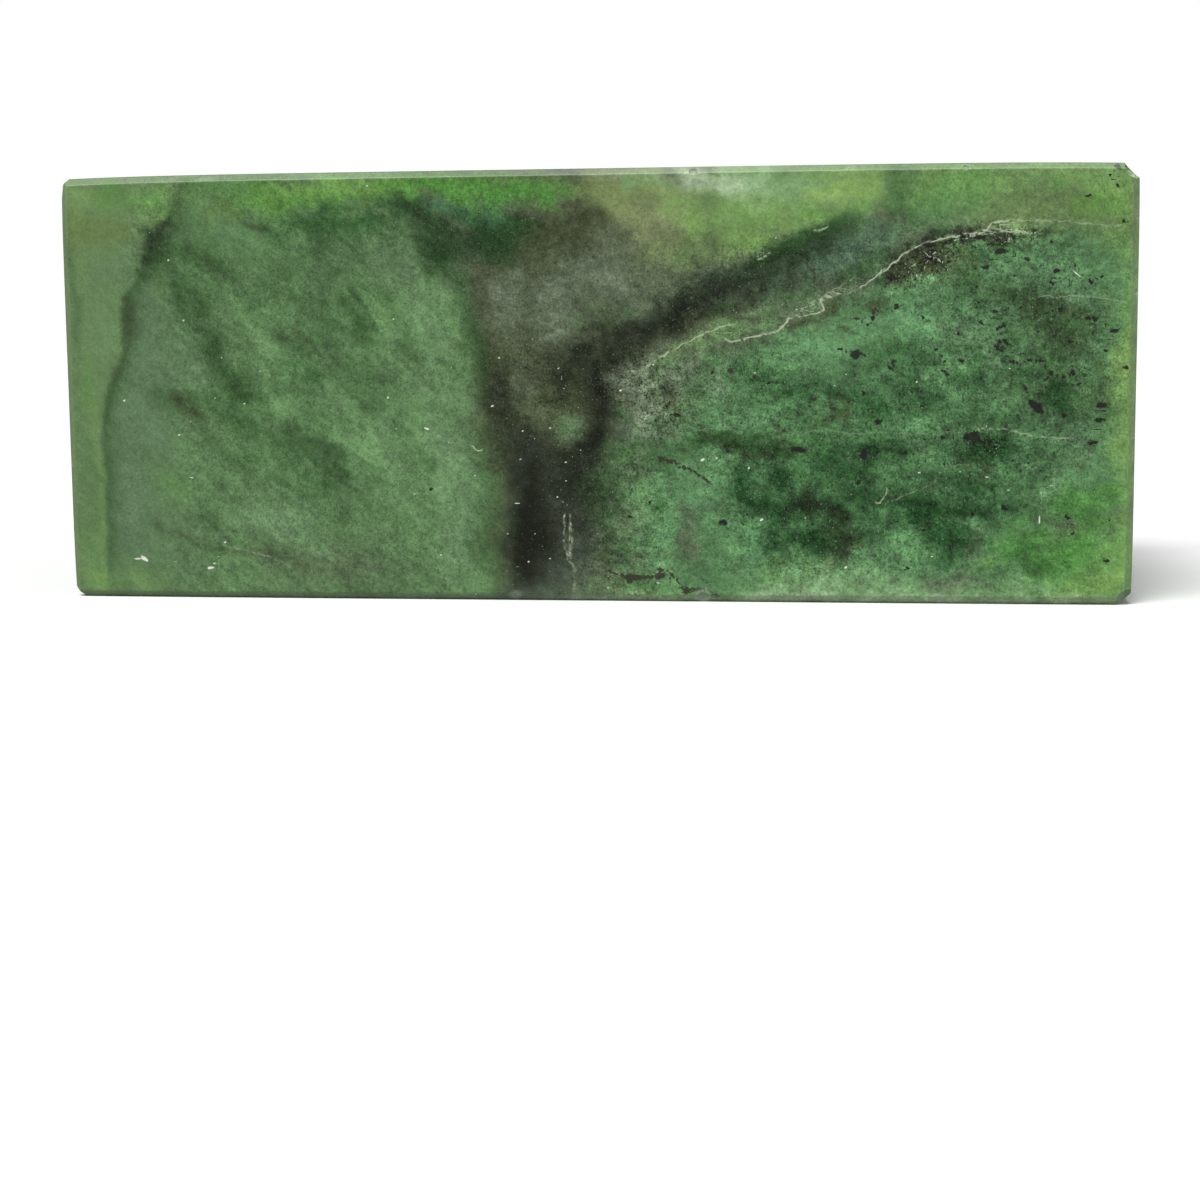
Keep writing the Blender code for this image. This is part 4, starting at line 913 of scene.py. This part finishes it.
# the way each edge runs, its side of the block, and the width ground off at its low and high end in mm
groundEdges = {
    "topFront": (0, (0, -1, 1), (1.00, 0.80)),
    "topBack": (0, (0, 1, 1), (0.90, 1.05)),
    "bottomFront": (0, (0, -1, -1), (0.85, 1.05)),
    "bottomBack": (0, (0, 1, -1), (1.00, 0.90)),
    "topLeft": (1, (-1, 0, 1), (1.10, 1.00)),
    "topRight": (1, (1, 0, 1), (1.95, 1.70)),
    "bottomLeft": (1, (-1, 0, -1), (1.40, 1.20)),
    "bottomRight": (1, (1, 0, -1), (1.45, 1.60)),
    "leftFront": (2, (-1, -1, 0), (0.85, 1.00)),
    "leftBack": (2, (-1, 1, 0), (1.00, 1.10)),
    "rightFront": (2, (1, -1, 0), (1.05, 0.95)),
    "rightBack": (2, (1, 1, 0), (0.90, 1.00)),
}
# chips: the edge, the place along it from its middle, its width and its depth in mm
edgeChips = (
    ("topFront", 15.2, 1.3, 0.45), ("topFront", 52.0, 0.9, 0.25), ("bottomFront", 16.5, 2.0, 0.45),
    ("bottomFront", 49.0, 1.2, 0.30), ("bottomFront", -9.9, 1.1, 0.25), ("rightFront", 12.5, 1.0, 0.25),
    ("topBack", -37.0, 1.8, 0.45), ("topBack", 22.5, 1.2, 0.30), ("bottomBack", -12.0, 1.5, 0.40),
    ("bottomBack", 51.0, 2.2, 0.55), ("topLeft", 9.0, 1.4, 0.35), ("bottomLeft", -14.0, 1.6, 0.40),
    ("topRight", 16.0, 1.7, 0.45), ("leftBack", 8.0, 1.5, 0.40), ("rightBack", -11.0, 1.9, 0.50),
)
cornerChips = (
    ((1, -1, -1), 2.2, 0.45), ((1, -1, 1), 1.8, 0.35), ((-1, 1, 1), 2.8, 0.70), ((1, 1, -1), 2.4, 0.60),
)
# finer nibbles seen along the front edges, in the same way
nibbles = (
    ("topFront", -54.6, 0.30, 0.07), ("topFront", -53.9, 0.26, 0.06), ("topFront", -53.3, 0.34, 0.08),
    ("topFront", -52.7, 0.26, 0.06), ("topFront", 3.2, 0.4, 0.08), ("topFront", 36.4, 0.36, 0.08),
    ("bottomFront", 37.2, 0.5, 0.12), ("bottomFront", 38.1, 0.44, 0.1), ("bottomFront", 38.9, 0.5, 0.12),
    ("bottomFront", 47.2, 0.4, 0.1), ("bottomFront", 50.4, 0.5, 0.12), ("bottomFront", 51.7, 0.6, 0.14),
    ("bottomFront", -1.2, 0.5, 0.12), ("bottomFront", 2.8, 0.4, 0.1), ("bottomFront", 66.0, 0.4, 0.1),
    ("leftFront", -11.0, 0.4, 0.08), ("rightFront", 22.4, 0.5, 0.12), ("rightFront", -7.0, 0.4, 0.1),
)
chipping = {
    "offCentre": 0.35,  # mm, from the middle of the ground edge towards its face
    "cornerLoss": 1.35,  # ground widths from the sawn corner down to a corner chip
    "unevenness": 0.05, "lumps": 6.6,  # a break is part of an uneven ball
    "bruise": (0.85, 0.4),  # of a chip's width, where its bruise ends and where it is full
    # nibbles on the edges that aren't at the front: how many, how wide in mm, and depth over width
    "seed": 23, "others": 34, "otherSize": (0.3, 0.8), "otherDepth": 0.22, "otherOff": 0.3,
}


def everything(bm):
    return bm.verts[:] + bm.edges[:] + bm.faces[:]


def cutAway(bm, point, normal):
    cut = bmesh.ops.bisect_plane(bm, geom=everything(bm), plane_co=point, plane_no=normal, clear_outer=True)
    rim = [part for part in cut["geom_cut"] if isinstance(part, bmesh.types.BMEdge)]
    bmesh.ops.edgeloop_fill(bm, edges=rim)


def edgeEnds(run, side):
    ends = []
    for way in (-1, 1):
        end = Vector([side[axis] * half[axis] for axis in range(3)])
        end[run] = way * half[run]
        ends.append(end)
    return ends


def edgePlane(run, side, widths):
    # the ground facet passes through the two lines along which it leaves its faces
    first, second = (axis for axis in range(3) if side[axis])
    ends = edgeEnds(run, side)
    downFirst, downSecond = Vector((0, 0, 0)), Vector((0, 0, 0))
    downFirst[first] = -side[first] * mm
    downSecond[second] = -side[second] * mm
    point = ends[0] + downFirst * widths[0]
    normal = (ends[1] + downFirst * widths[1] - point).cross(ends[0] + downSecond * widths[0] - point)
    normal *= 1 if normal.dot(Vector(side)) > 0 else -1
    return point, normal.normalized()


def edgeSpot(edge, along, offCentre):
    run, side, widths = groundEdges[edge]
    point, normal = edgePlane(run, side, widths)
    start, end = edgeEnds(run, side)
    spot = (start + end) / 2 + (end - start).normalized() * along * mm
    spot -= normal * (spot - point).dot(normal)
    face = Vector(side)
    face[2 if side[2] else 1] = 0
    return spot + (face - normal * face.dot(normal)).normalized() * offCentre * mm, normal


def cornerSpot(corner):
    normal = Vector(corner).normalized()
    widths = [max(widths) for run, side, widths in groundEdges.values()
              if sum(one * other for one, other in zip(side, corner)) == 2]
    sawn = Vector([corner[axis] * half[axis] for axis in range(3)])
    return sawn - normal * max(widths) * mm * chipping["cornerLoss"], normal


def chipSpots():
    # where each break is, the way it faces, and its width and depth in mm
    off = chipping["offCentre"]
    spots = [(*edgeSpot(edge, along, off), width, depth) for edge, along, width, depth in edgeChips]
    spots += [(*cornerSpot(corner), width, depth) for corner, width, depth in cornerChips]
    spots += [(*edgeSpot(edge, along, off), width, depth) for edge, along, width, depth in nibbles]
    rng = np.random.default_rng(chipping["seed"])
    hidden = [edge for edge in groundEdges if not edge.endswith("Front")]
    for count in range(chipping["others"]):
        edge = hidden[count % len(hidden)]
        reach = half[groundEdges[edge][0]] / mm - 4
        width = rng.uniform(*chipping["otherSize"])
        off = chipping["otherOff"]
        spot = edgeSpot(edge, rng.uniform(-reach, reach), rng.uniform(-off, off))
        spots.append((*spot, width, width * chipping["otherDepth"]))
    return spots


def chipCutters(spots):
    bm = bmesh.new()
    for count, (spot, normal, width, depth) in enumerate(spots):
        width, depth, turn = width * mm, depth * mm, 0.9 * count + 0.4
        radius = (width ** 2 / 4 + depth ** 2) / (2 * depth)
        fineness = 4 if width > 0.8 * mm else 3
        ball = bmesh.ops.create_icosphere(bm, subdivisions=fineness, radius=radius)["verts"]
        spin = Euler((turn, turn * 1.7, turn * 0.6)).to_matrix()
        for vert in ball:
            vert.co = spin @ vert.co
            lump = noise.noise(vert.co.normalized() * chipping["lumps"] + Vector((turn, 0, 0)))
            vert.co *= 1 + chipping["unevenness"] * lump
        bmesh.ops.transform(bm, matrix=Matrix.Translation(spot + normal * (radius - depth)), verts=ball)
    mesh = bpy.data.meshes.new("chipCutters")
    bm.to_mesh(mesh)
    bm.free()
    return mesh


def breakOut(mesh, cutters):
    # takes the cutters away from the block and gives back the mesh that is left
    whole = bpy.data.objects.new("wholeBlock", mesh)
    balls = bpy.data.objects.new("chipCutters", cutters)
    for thing in (whole, balls):
        scene.collection.objects.link(thing)
    broken = whole.modifiers.new("broken", "BOOLEAN")
    broken.operation, broken.solver, broken.object = "DIFFERENCE", "EXACT", balls
    broken.use_self = True
    bpy.context.view_layer.update()
    left = bpy.data.meshes.new_from_object(whole.evaluated_get(bpy.context.evaluated_depsgraph_get()))
    for thing in (whole, balls):
        bpy.data.objects.remove(thing)
    for used in (mesh, cutters):
        bpy.data.meshes.remove(used)
    return left


def cutGrid(bm, cell):
    for axis in range(3):
        normal = Vector((0, 0, 0))
        normal[axis] = 1
        count = round(2 * half[axis] / cell)
        for step in range(1, count):
            place = normal * (half[axis] * (2 * step / count - 1))
            bmesh.ops.bisect_plane(bm, geom=everything(bm), plane_co=place, plane_no=normal)
    bm.normal_update()
    front = [face for face in bm.faces if face.normal.y < -0.999 and len(face.verts) == 4]
    edges = list({edge for face in front for edge in face.edges})
    bmesh.ops.subdivide_edges(bm, edges=edges, cuts=2, use_grid_fill=True)


def meshPlaces(mesh):
    co = np.empty(len(mesh.vertices) * 3)
    mesh.vertices.foreach_get("co", co)
    return co.reshape(-1, 3)


def lapFaces(mesh):
    # hand lapping takes more off near the rims of a face, and none off the one the block rests on
    co = meshPlaces(mesh)
    share = co / np.array(half)
    fall = np.array(blockShape["rimFall"]) * mm * np.clip(abs(share), 0, 1) ** blockShape["rimSharpness"]
    start, full = (value * mm for value in blockShape["rimBand"])
    moved = co.copy()
    for axis in range(3):
        weight = ease(start, full, half[axis] - abs(co[:, axis]))
        if axis == 2:
            weight = weight * (co[:, 2] > 0)
        moved[:, axis] -= np.sign(co[:, axis]) * weight * (fall.sum(axis=1) - fall[:, axis])
    atLeft = ease(start, full, half.x + co[:, 0])
    moved[:, 0] += atLeft * blockShape["leftLean"] * mm * (1 - share[:, 2]) / 2
    moved[:, 2] += half.z
    mesh.vertices.foreach_set("co", moved.ravel())
    mesh.update()


def bruises(co, spots):
    # how white the stone is from the breaks, 0 to 1
    white = np.zeros(len(co))
    for spot, normal, width, depth in spots:
        reach = np.linalg.norm(co - np.array(spot), axis=1) / (width * mm)
        white = np.maximum(white, ease(*chipping["bruise"], reach))
    return white


def blockMesh():
    bm = bmesh.new()
    bmesh.ops.create_cube(bm, size=1)
    bmesh.ops.scale(bm, vec=half * 2, verts=bm.verts)
    for run, side, widths in groundEdges.values():
        cutAway(bm, *edgePlane(run, side, widths))
    drop, inset = (value * mm for value in blockShape["secondPass"])
    cutAway(bm, Vector((-half.x, 0, half.z - drop)), Vector((-drop, 0, inset)).normalized())
    bmesh.ops.recalc_face_normals(bm, faces=bm.faces)
    bmesh.ops.bevel(bm, geom=bm.edges[:], offset=blockShape["arris"] * mm, segments=2, profile=0.5,
                    affect="EDGES")
    whole = bpy.data.meshes.new("wholeBlock")
    bm.to_mesh(whole)
    bm.free()
    spots = chipSpots()
    mesh = breakOut(whole, chipCutters(spots))
    bm = bmesh.new()
    bm.from_mesh(mesh)
    cutGrid(bm, blockShape["cell"] * mm)
    bm.to_mesh(mesh)
    bm.free()
    mesh.name = "jadeBlock"
    white = bruises(meshPlaces(mesh), spots)
    lapFaces(mesh)
    mesh.shade_smooth()
    mesh.set_sharp_from_angle(angle=math.radians(blockShape["sharpFrom"]))
    setAttribute(mesh, "bruise", "FLOAT", white)
    triangles = sum(len(face.vertices) - 2 for face in mesh.polygons)
    print("block mesh", len(mesh.vertices), "points", triangles, "triangles")
    return mesh


def setAttribute(mesh, name, kind, values, domain="POINT"):
    layer = mesh.attributes.new(name, kind, domain)
    field = "color" if kind == "FLOAT_COLOR" else "vector" if kind == "FLOAT_VECTOR" else "value"
    layer.data.foreach_set(field, np.ascontiguousarray(values, np.float32).ravel())


def groundFacets(mesh):
    # 1 on the faces that look along none of the block's three directions, which are the ground edges
    normals = np.zeros(len(mesh.polygons) * 3)
    mesh.polygons.foreach_get("normal", normals)
    steepest = np.abs(normals.reshape(-1, 3)).max(axis=1)
    return (steepest < blockShape["facetsUnder"]).astype(float)


def paintBlock(mesh):
    places = stonePlace(meshPlaces(mesh))
    felt = feltOf(places)
    colour = toLinear(mottle(places, paintStone(places), felt))
    setAttribute(mesh, "stoneColour", "FLOAT_COLOR", np.column_stack([colour, np.ones(len(colour))]))
    setAttribute(mesh, "felt", "FLOAT", felt)
    setAttribute(mesh, "stonePlace", "FLOAT_VECTOR", places)
    for name, groups in (("grain", grains), ("mote", motes)):
        for part, values in zip(("Centre", "Across", "Upward"), marksNear(groups, places)):
            setAttribute(mesh, name + part, "FLOAT_VECTOR", values)
    thread, gaps = threadsNear(places)
    setAttribute(mesh, "thread", "FLOAT_VECTOR", thread)
    setAttribute(mesh, "threadGaps", "FLOAT", gaps)
    setAttribute(mesh, "ground", "FLOAT", groundFacets(mesh), "FACE")
    print("stone pattern painted")


# Nephrite is a felt of fibres too fine to see, which gives a soft, cloudy green with no sparkle. It was
# sawn, lapped and polished by hand: a satin shine, and a frosted skin where the edges were only ground.
nephrite = {
    "ior": 1.61, "roughness": 0.3, "groundRoughness": 0.5,
    # fibres finer than 0.02 mm, drawn as coarse as they need to be to show
    "feltSizes": (0.15, 0.3, 0.55), "feltContrast": (0.14, 0.17, 0.14), "leastFelt": 0.12,
    "blackGrain": "#1f1d19", "brownGrain": "#38342a", "grainStrength": 0.93, "grainDull": 0.086,
    "dust": "#e2e6d8", "grainRim": 0.16, "moteRim": 0.045,  # mm, how uneven the rims are
    # sizes in mm; the levels are the noise at which a thing starts and at which it is full
    "sootSize": 0.75, "sootLevels": (2.7, 3.4), "sootStrength": 0.75,
    "point": "#8f9d86", "pointSize": 0.26, "pointLevels": (0.7, 2.3), "pointStrength": 0.42,
    "pitSize": 0.42, "pitLevels": (0.95, 1.3), "pitStrength": 0.25,  # left open by the polish, full of dust
    "vein": "#b8c6a4", "veinDull": 0.1, "besideVein": (4.5, 0.4),  # width over the vein's own, and strength
    "frost": "#8b9b81", "frostStrength": 0.22, "bruiseStrength": 0.15,
    "polishPatch": 9, "polishVaries": 0.025,  # mm, and how much the roughness varies
    "lapping": 1.4, "groundSkin": 0.3, "groundDepth": 0.004, "grainDepth": -0.0108, "relief": 0.004,  # mm
}


def linearColour(code):
    return (*toLinear(fromHex(code)), 1)


def lumps(tree, label, place, size, detail=1.0):
    # noise around 0 with a spread of about 1, in lumps of this size in mm
    found = addNode(tree, "TexNoise", 0, {"Vector": place, "Scale": 1 / size, "Detail": detail}, label)
    return addNode(tree, "Math", 0, (found, 8, -4), operation="MULTIPLY_ADD")


def markShare(tree, name, place, uneven):
    # 1 inside the nearest mark, whose rim is uneven by this many mm, and the mark's tone
    centre = addNode(tree, "Attribute", "Vector", attribute_name=name + "Centre")
    off = addNode(tree, "VectorMath", 0, (place, centre), "from " + name, operation="SUBTRACT")
    squares, steep = [], uneven
    for part in ("Across", "Upward"):
        axis = addNode(tree, "Attribute", "Vector", attribute_name=name + part)
        length = addNode(tree, "VectorMath", "Value", (axis,), operation="LENGTH")
        root = addNode(tree, "Math", 0, (length,), operation="SQRT")
        steep = addNode(tree, "Math", 0, (steep, root), operation="MULTIPLY")
        reach = addNode(tree, "VectorMath", "Value", (off, axis), operation="DOT_PRODUCT")
        squares.append(addNode(tree, "Math", 0, (reach, reach), operation="MULTIPLY"))
    span = addNode(tree, "Math", 0, squares, operation="ADD")
    span = addNode(tree, "Math", 0, (span,), operation="SQRT")
    rim = lumps(tree, name + " rim", place, 0.42, 2.5)
    rough = addNode(tree, "Math", 0, (rim, steep, span), operation="MULTIPLY_ADD")
    tone = addNode(tree, "SeparateXYZ", "Y", (centre,), name + " tone")
    inside = addNode(tree, "MapRange", 0, {"Value": rough, "From Min": 1.25, "From Max": 0.7},
                     name + " inside", interpolation_type="SMOOTHSTEP")
    return inside, tone


def threadShare(tree, place):
    # 1 on the nearest light line, which wavers and is broken up
    line = addNode(tree, "Attribute", "Vector", attribute_name="thread")
    apart, halfWidth, strength = addNode(tree, "SeparateXYZ", 0, (line,), "line").node.outputs
    wavering = lumps(tree, "wavering", place, 1.1, 2.0)
    apart = addNode(tree, "Math", 0, (wavering, 0.1, apart), operation="MULTIPLY_ADD")
    apart = addNode(tree, "Math", 0, (apart,), operation="ABSOLUTE")
    width = addNode(tree, "Math", 0, (lumps(tree, "width", place, 1.6), 0.3, 1.1), operation="MULTIPLY_ADD")
    width = addNode(tree, "Math", 0, (halfWidth, width), operation="MULTIPLY")
    width = addNode(tree, "Math", 0, (width, 0.03), operation="MAXIMUM")
    inside = addNode(tree, "Math", 0, (apart, width), operation="DIVIDE")
    inside = addNode(tree, "MapRange", 0, {"Value": inside, "From Min": 1.6, "From Max": 0.3}, "line inside",
                     interpolation_type="SMOOTHSTEP")
    gaps = addNode(tree, "Attribute", "Fac", attribute_name="threadGaps")
    gaps = addNode(tree, "Math", 0, (gaps, 2.4, -1.9), operation="MULTIPLY_ADD")
    gaps = addNode(tree, "Math", 0, (lumps(tree, "holes", place, 0.7, 2.0), gaps), operation="SUBTRACT")
    whole = addNode(tree, "MapRange", 0, {"Value": gaps, "From Min": -0.6, "From Max": 1.2}, "gaps",
                    interpolation_type="SMOOTHSTEP")
    inside = addNode(tree, "Math", 0, (inside, whole), operation="MULTIPLY")
    # a wider, fainter and more broken band of pale jade goes with it
    times, faint = nephrite["besideVein"]
    width = addNode(tree, "Math", 0, (halfWidth, 0.05), operation="MAXIMUM")
    wide = addNode(tree, "Math", 0, (apart, width), operation="DIVIDE")
    wide = addNode(tree, "MapRange", 0, {"Value": wide, "From Min": times, "From Max": 1}, "beside the line",
                   interpolation_type="SMOOTHSTEP")
    specks = addNode(tree, "MapRange", 0, {
        "Value": lumps(tree, "specks", place, 0.5, 2.5), "From Min": -0.6, "From Max": 1.8}, "pale specks",
        interpolation_type="SMOOTHSTEP")
    wide = addNode(tree, "Math", 0, (wide, specks), operation="MULTIPLY")
    wide = addNode(tree, "Math", 0, (wide, faint), operation="MULTIPLY")
    both = addNode(tree, "Math", 0, (inside, wide), operation="MAXIMUM")
    return addNode(tree, "Math", 0, (both, strength), operation="MULTIPLY")


def coarseParts(tree, place, felt):
    # what shows where the stone is coarse, as (name, share, colour): soot, pale points and open pits
    soot = addNode(tree, "Math", 0, (felt, 1.1, lumps(tree, "soot", place, nephrite["sootSize"], 2.5)),
                   operation="MULTIPLY_ADD")
    points = lumps(tree, "points", place, nephrite["pointSize"], 2.0)
    pits = addNode(tree, "TexVoronoi", "Distance", {
        "Vector": place, "Scale": 1 / nephrite["pitSize"]}, "pits")
    chance = addNode(tree, "SeparateXYZ", "X", (pits.node.outputs["Color"],), "chance")
    chance = addNode(tree, "Math", 0, (felt, 0.3, chance), operation="MULTIPLY_ADD")
    pits = addNode(tree, "MapRange", 0, {"Value": pits, "From Min": 0.3, "From Max": 0.1}, "pit",
                   interpolation_type="SMOOTHSTEP")
    pits = addNode(tree, "Math", 0, (pits, nephrite["pitStrength"]), operation="MULTIPLY")
    thick = addNode(tree, "Math", 0, (felt, nephrite["pointStrength"]), operation="MULTIPLY")
    for name, level, strength, colour in (("soot", soot, nephrite["sootStrength"], "blackGrain"),
                                          ("point", points, thick, "point"), ("pit", chance, pits, "dust")):
        start, full = nephrite[name + "Levels"]
        share = addNode(tree, "MapRange", 0, {"Value": level, "From Min": start, "From Max": full}, name,
                        interpolation_type="SMOOTHSTEP")
        share = addNode(tree, "Math", 0, (share, strength), operation="MULTIPLY")
        yield name, share, linearColour(nephrite[colour])


def layers(tree, place, felt):
    # everything that lies on the stone's own colour, from the lowest up: name, share and colour
    yield from coarseParts(tree, place, felt)
    yield "healed cracks", threadShare(tree, place), linearColour(nephrite["vein"])
    inside, tone = markShare(tree, "grain", place, nephrite["grainRim"])
    black, brown = linearColour(nephrite["blackGrain"]), linearColour(nephrite["brownGrain"])
    colour = addNode(tree, "Mix", 2, {0: tone, 6: black, 7: brown}, "grain colour", data_type="RGBA")
    share = addNode(tree, "Math", 0, (inside, nephrite["grainStrength"]), operation="MULTIPLY")
    yield "grains", share, colour
    inside, tone = markShare(tree, "mote", place, nephrite["moteRim"])
    share = addNode(tree, "Math", 0, (inside, tone), operation="MULTIPLY")
    yield "dust", share, linearColour(nephrite["dust"])
    # frosted where the edges were ground, and white where they are bruised
    for name, strength, colour in (("ground", "frostStrength", "frost"),
                                   ("bruise", "bruiseStrength", "dust")):
        share = addNode(tree, "Attribute", "Fac", attribute_name=name)
        share = addNode(tree, "Math", 0, (share, nephrite[strength]), operation="MULTIPLY")
        yield name, share, linearColour(nephrite[colour])


def polishedNephrite():
    made = bpy.data.materials.new("polishedNephrite")
    made.use_nodes = True
    tree = made.node_tree
    shader = tree.nodes["Principled BSDF"]
    shader.inputs["IOR"].default_value = nephrite["ior"]
    place = addNode(tree, "Attribute", "Vector", attribute_name="stonePlace")
    felt = addNode(tree, "Attribute", "Fac", attribute_name="felt")
    colour = addNode(tree, "Attribute", "Color", attribute_name="stoneColour")
    # felted fibres: fine light and dark at three sizes
    light = 1.0
    strong = addNode(tree, "Math", 0, (felt, nephrite["leastFelt"]), operation="ADD")
    for size, contrast in zip(nephrite["feltSizes"], nephrite["feltContrast"]):
        fibres = lumps(tree, "fibres", place, size)
        fibres = addNode(tree, "Math", 0, (fibres, contrast), operation="MULTIPLY")
        light = addNode(tree, "Math", 0, (fibres, strong, light), operation="MULTIPLY_ADD")
    colour = addNode(tree, "VectorMath", 0, {0: colour, 3: light}, "felted", operation="SCALE")
    shares = {}
    for name, share, tint in layers(tree, place, felt):
        colour = addNode(tree, "Mix", 2, {0: share, 6: colour, 7: tint}, name, data_type="RGBA")
        shares[name] = share
    tree.links.new(colour, shader.inputs["Base Color"])
    # satin polish, a little duller in patches, over cracks and grains and on the ground edges
    ground = addNode(tree, "Attribute", "Fac", attribute_name="ground")
    patches = lumps(tree, "polish", place, nephrite["polishPatch"], 2.0)
    dull = addNode(tree, "Math", 0, (patches, nephrite["polishVaries"], nephrite["roughness"]),
                   operation="MULTIPLY_ADD")
    for share, more in ((shares["grains"], nephrite["grainDull"]),
                        (shares["healed cracks"], nephrite["veinDull"]),
                        (ground, nephrite["groundRoughness"] - nephrite["roughness"])):
        dull = addNode(tree, "Math", 0, (share, more, dull), operation="MULTIPLY_ADD")
    tree.links.new(dull, shader.inputs["Roughness"])
    relief = lumps(tree, "lapping", place, nephrite["lapping"], 2.0)
    relief = addNode(tree, "Math", 0, (shares["grains"], nephrite["grainDepth"], relief),
                     operation="MULTIPLY_ADD")
    skin = lumps(tree, "ground skin", place, nephrite["groundSkin"], 2.0)
    skin = addNode(tree, "Math", 0, (skin, nephrite["groundDepth"]), operation="MULTIPLY")
    relief = addNode(tree, "Math", 0, (ground, skin, relief), operation="MULTIPLY_ADD")
    bump = addNode(tree, "Bump", 0, {
        "Height": relief, "Strength": 0.25, "Distance": nephrite["relief"] * mm}, "relief")
    tree.links.new(bump, shader.inputs["Normal"])
    return made


block = bpy.data.objects.new("jadeBlock", blockMesh())
scene.collection.objects.link(block)
paintBlock(block.data)
block.data.materials.append(polishedNephrite())
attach(block, "root")
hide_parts("jade_block")
print("block polished and placed")

# Table, camera and light

cameraView = {
    "place": (42.45, -347.2, 36.9),  # mm from the block's foot
    "yaw": 7.337, "pitch": 6.617, "roll": 0.347,  # degrees to the left, down and clockwise
    "lens": 68.15, "sensor": 36,  # mm
}
studio = {
    # distant soft lamps: where they stand (degrees to the right of the front, degrees up), how wide they
    # look in degrees, and their strength
    "key": (-18, 62, 30, 2.95), "left": (-58, 24, 40, 0.45), "right": (52, 24, 40, 0.45),
    # the white room and table as they are seen, and how much soft light and reflection they give
    "room": (1, 0.25, 0.022), "table": (0.9, 0.58, 0.03),
    "tableRadius": 6,  # m
}


def addCamera():
    camera = bpy.data.objects.new("camera", bpy.data.cameras.new("camera"))
    scene.collection.objects.link(camera)
    camera.data.lens = cameraView["lens"]
    camera.data.sensor_width = cameraView["sensor"]
    camera.data.clip_start = 0.01
    camera.location = Vector(cameraView["place"]) * mm
    yaw, pitch, roll = (math.radians(cameraView[turn]) for turn in ("yaw", "pitch", "roll"))
    look = Euler((math.pi / 2 - pitch, 0, yaw)).to_matrix() @ Matrix.Rotation(-roll, 3, "Z")
    camera.rotation_euler = look.to_euler()
    scene.camera = camera


def addLamp(name, turn, rise, width, strength):
    lamp = bpy.data.lights.new(name, "SUN")
    lamp.angle = math.radians(width)
    lamp.energy = strength
    made = bpy.data.objects.new(name, lamp)
    scene.collection.objects.link(made)
    made.rotation_euler = Euler((math.radians(90 - rise), 0, math.radians(turn)))


def byRay(tree, seen, lighting, mirrored):
    # one value for what the camera sees directly, one for soft light and one for reflections, as in a
    # studio where dark screens stand in front of the white walls
    glossy = addNode(tree, "LightPath", "Is Glossy Ray")
    level = {"Value": glossy, "To Min": lighting, "To Max": mirrored}
    level = addNode(tree, "MapRange", 0, level, "mirrored")
    direct = glossy.node.outputs["Is Camera Ray"]
    return addNode(tree, "MapRange", 0, {"Value": direct, "To Min": level, "To Max": seen}, "seen directly")


def addRoom():
    world = bpy.data.worlds.new("room")
    scene.world = world
    world.use_nodes = True
    back = world.node_tree.nodes["Background"]
    back.inputs["Color"].default_value = (1, 1, 1, 1)
    world.node_tree.links.new(byRay(world.node_tree, *studio["room"]), back.inputs["Strength"])


def addTable():
    mesh = bpy.data.meshes.new("table")
    bm = bmesh.new()
    bmesh.ops.create_circle(bm, cap_ends=True, radius=studio["tableRadius"], segments=96)
    bm.to_mesh(mesh)
    bm.free()
    table = bpy.data.objects.new("table", mesh)
    scene.collection.objects.link(table)
    made = bpy.data.materials.new("whiteCard")  # matt card: no shine, and a soft shadow
    made.use_nodes = True
    shader = made.node_tree.nodes["Principled BSDF"]
    shader.inputs["Roughness"].default_value = 0.9
    shader.inputs["Specular IOR Level"].default_value = 0
    made.node_tree.links.new(byRay(made.node_tree, *studio["table"]), shader.inputs["Base Color"])
    mesh.materials.append(made)


addCamera()
for name in ("key", "left", "right"):
    addLamp(name, *studio[name])
addRoom()
addTable()
scene.view_settings.view_transform = "Standard"
print("table, camera and lamps placed")
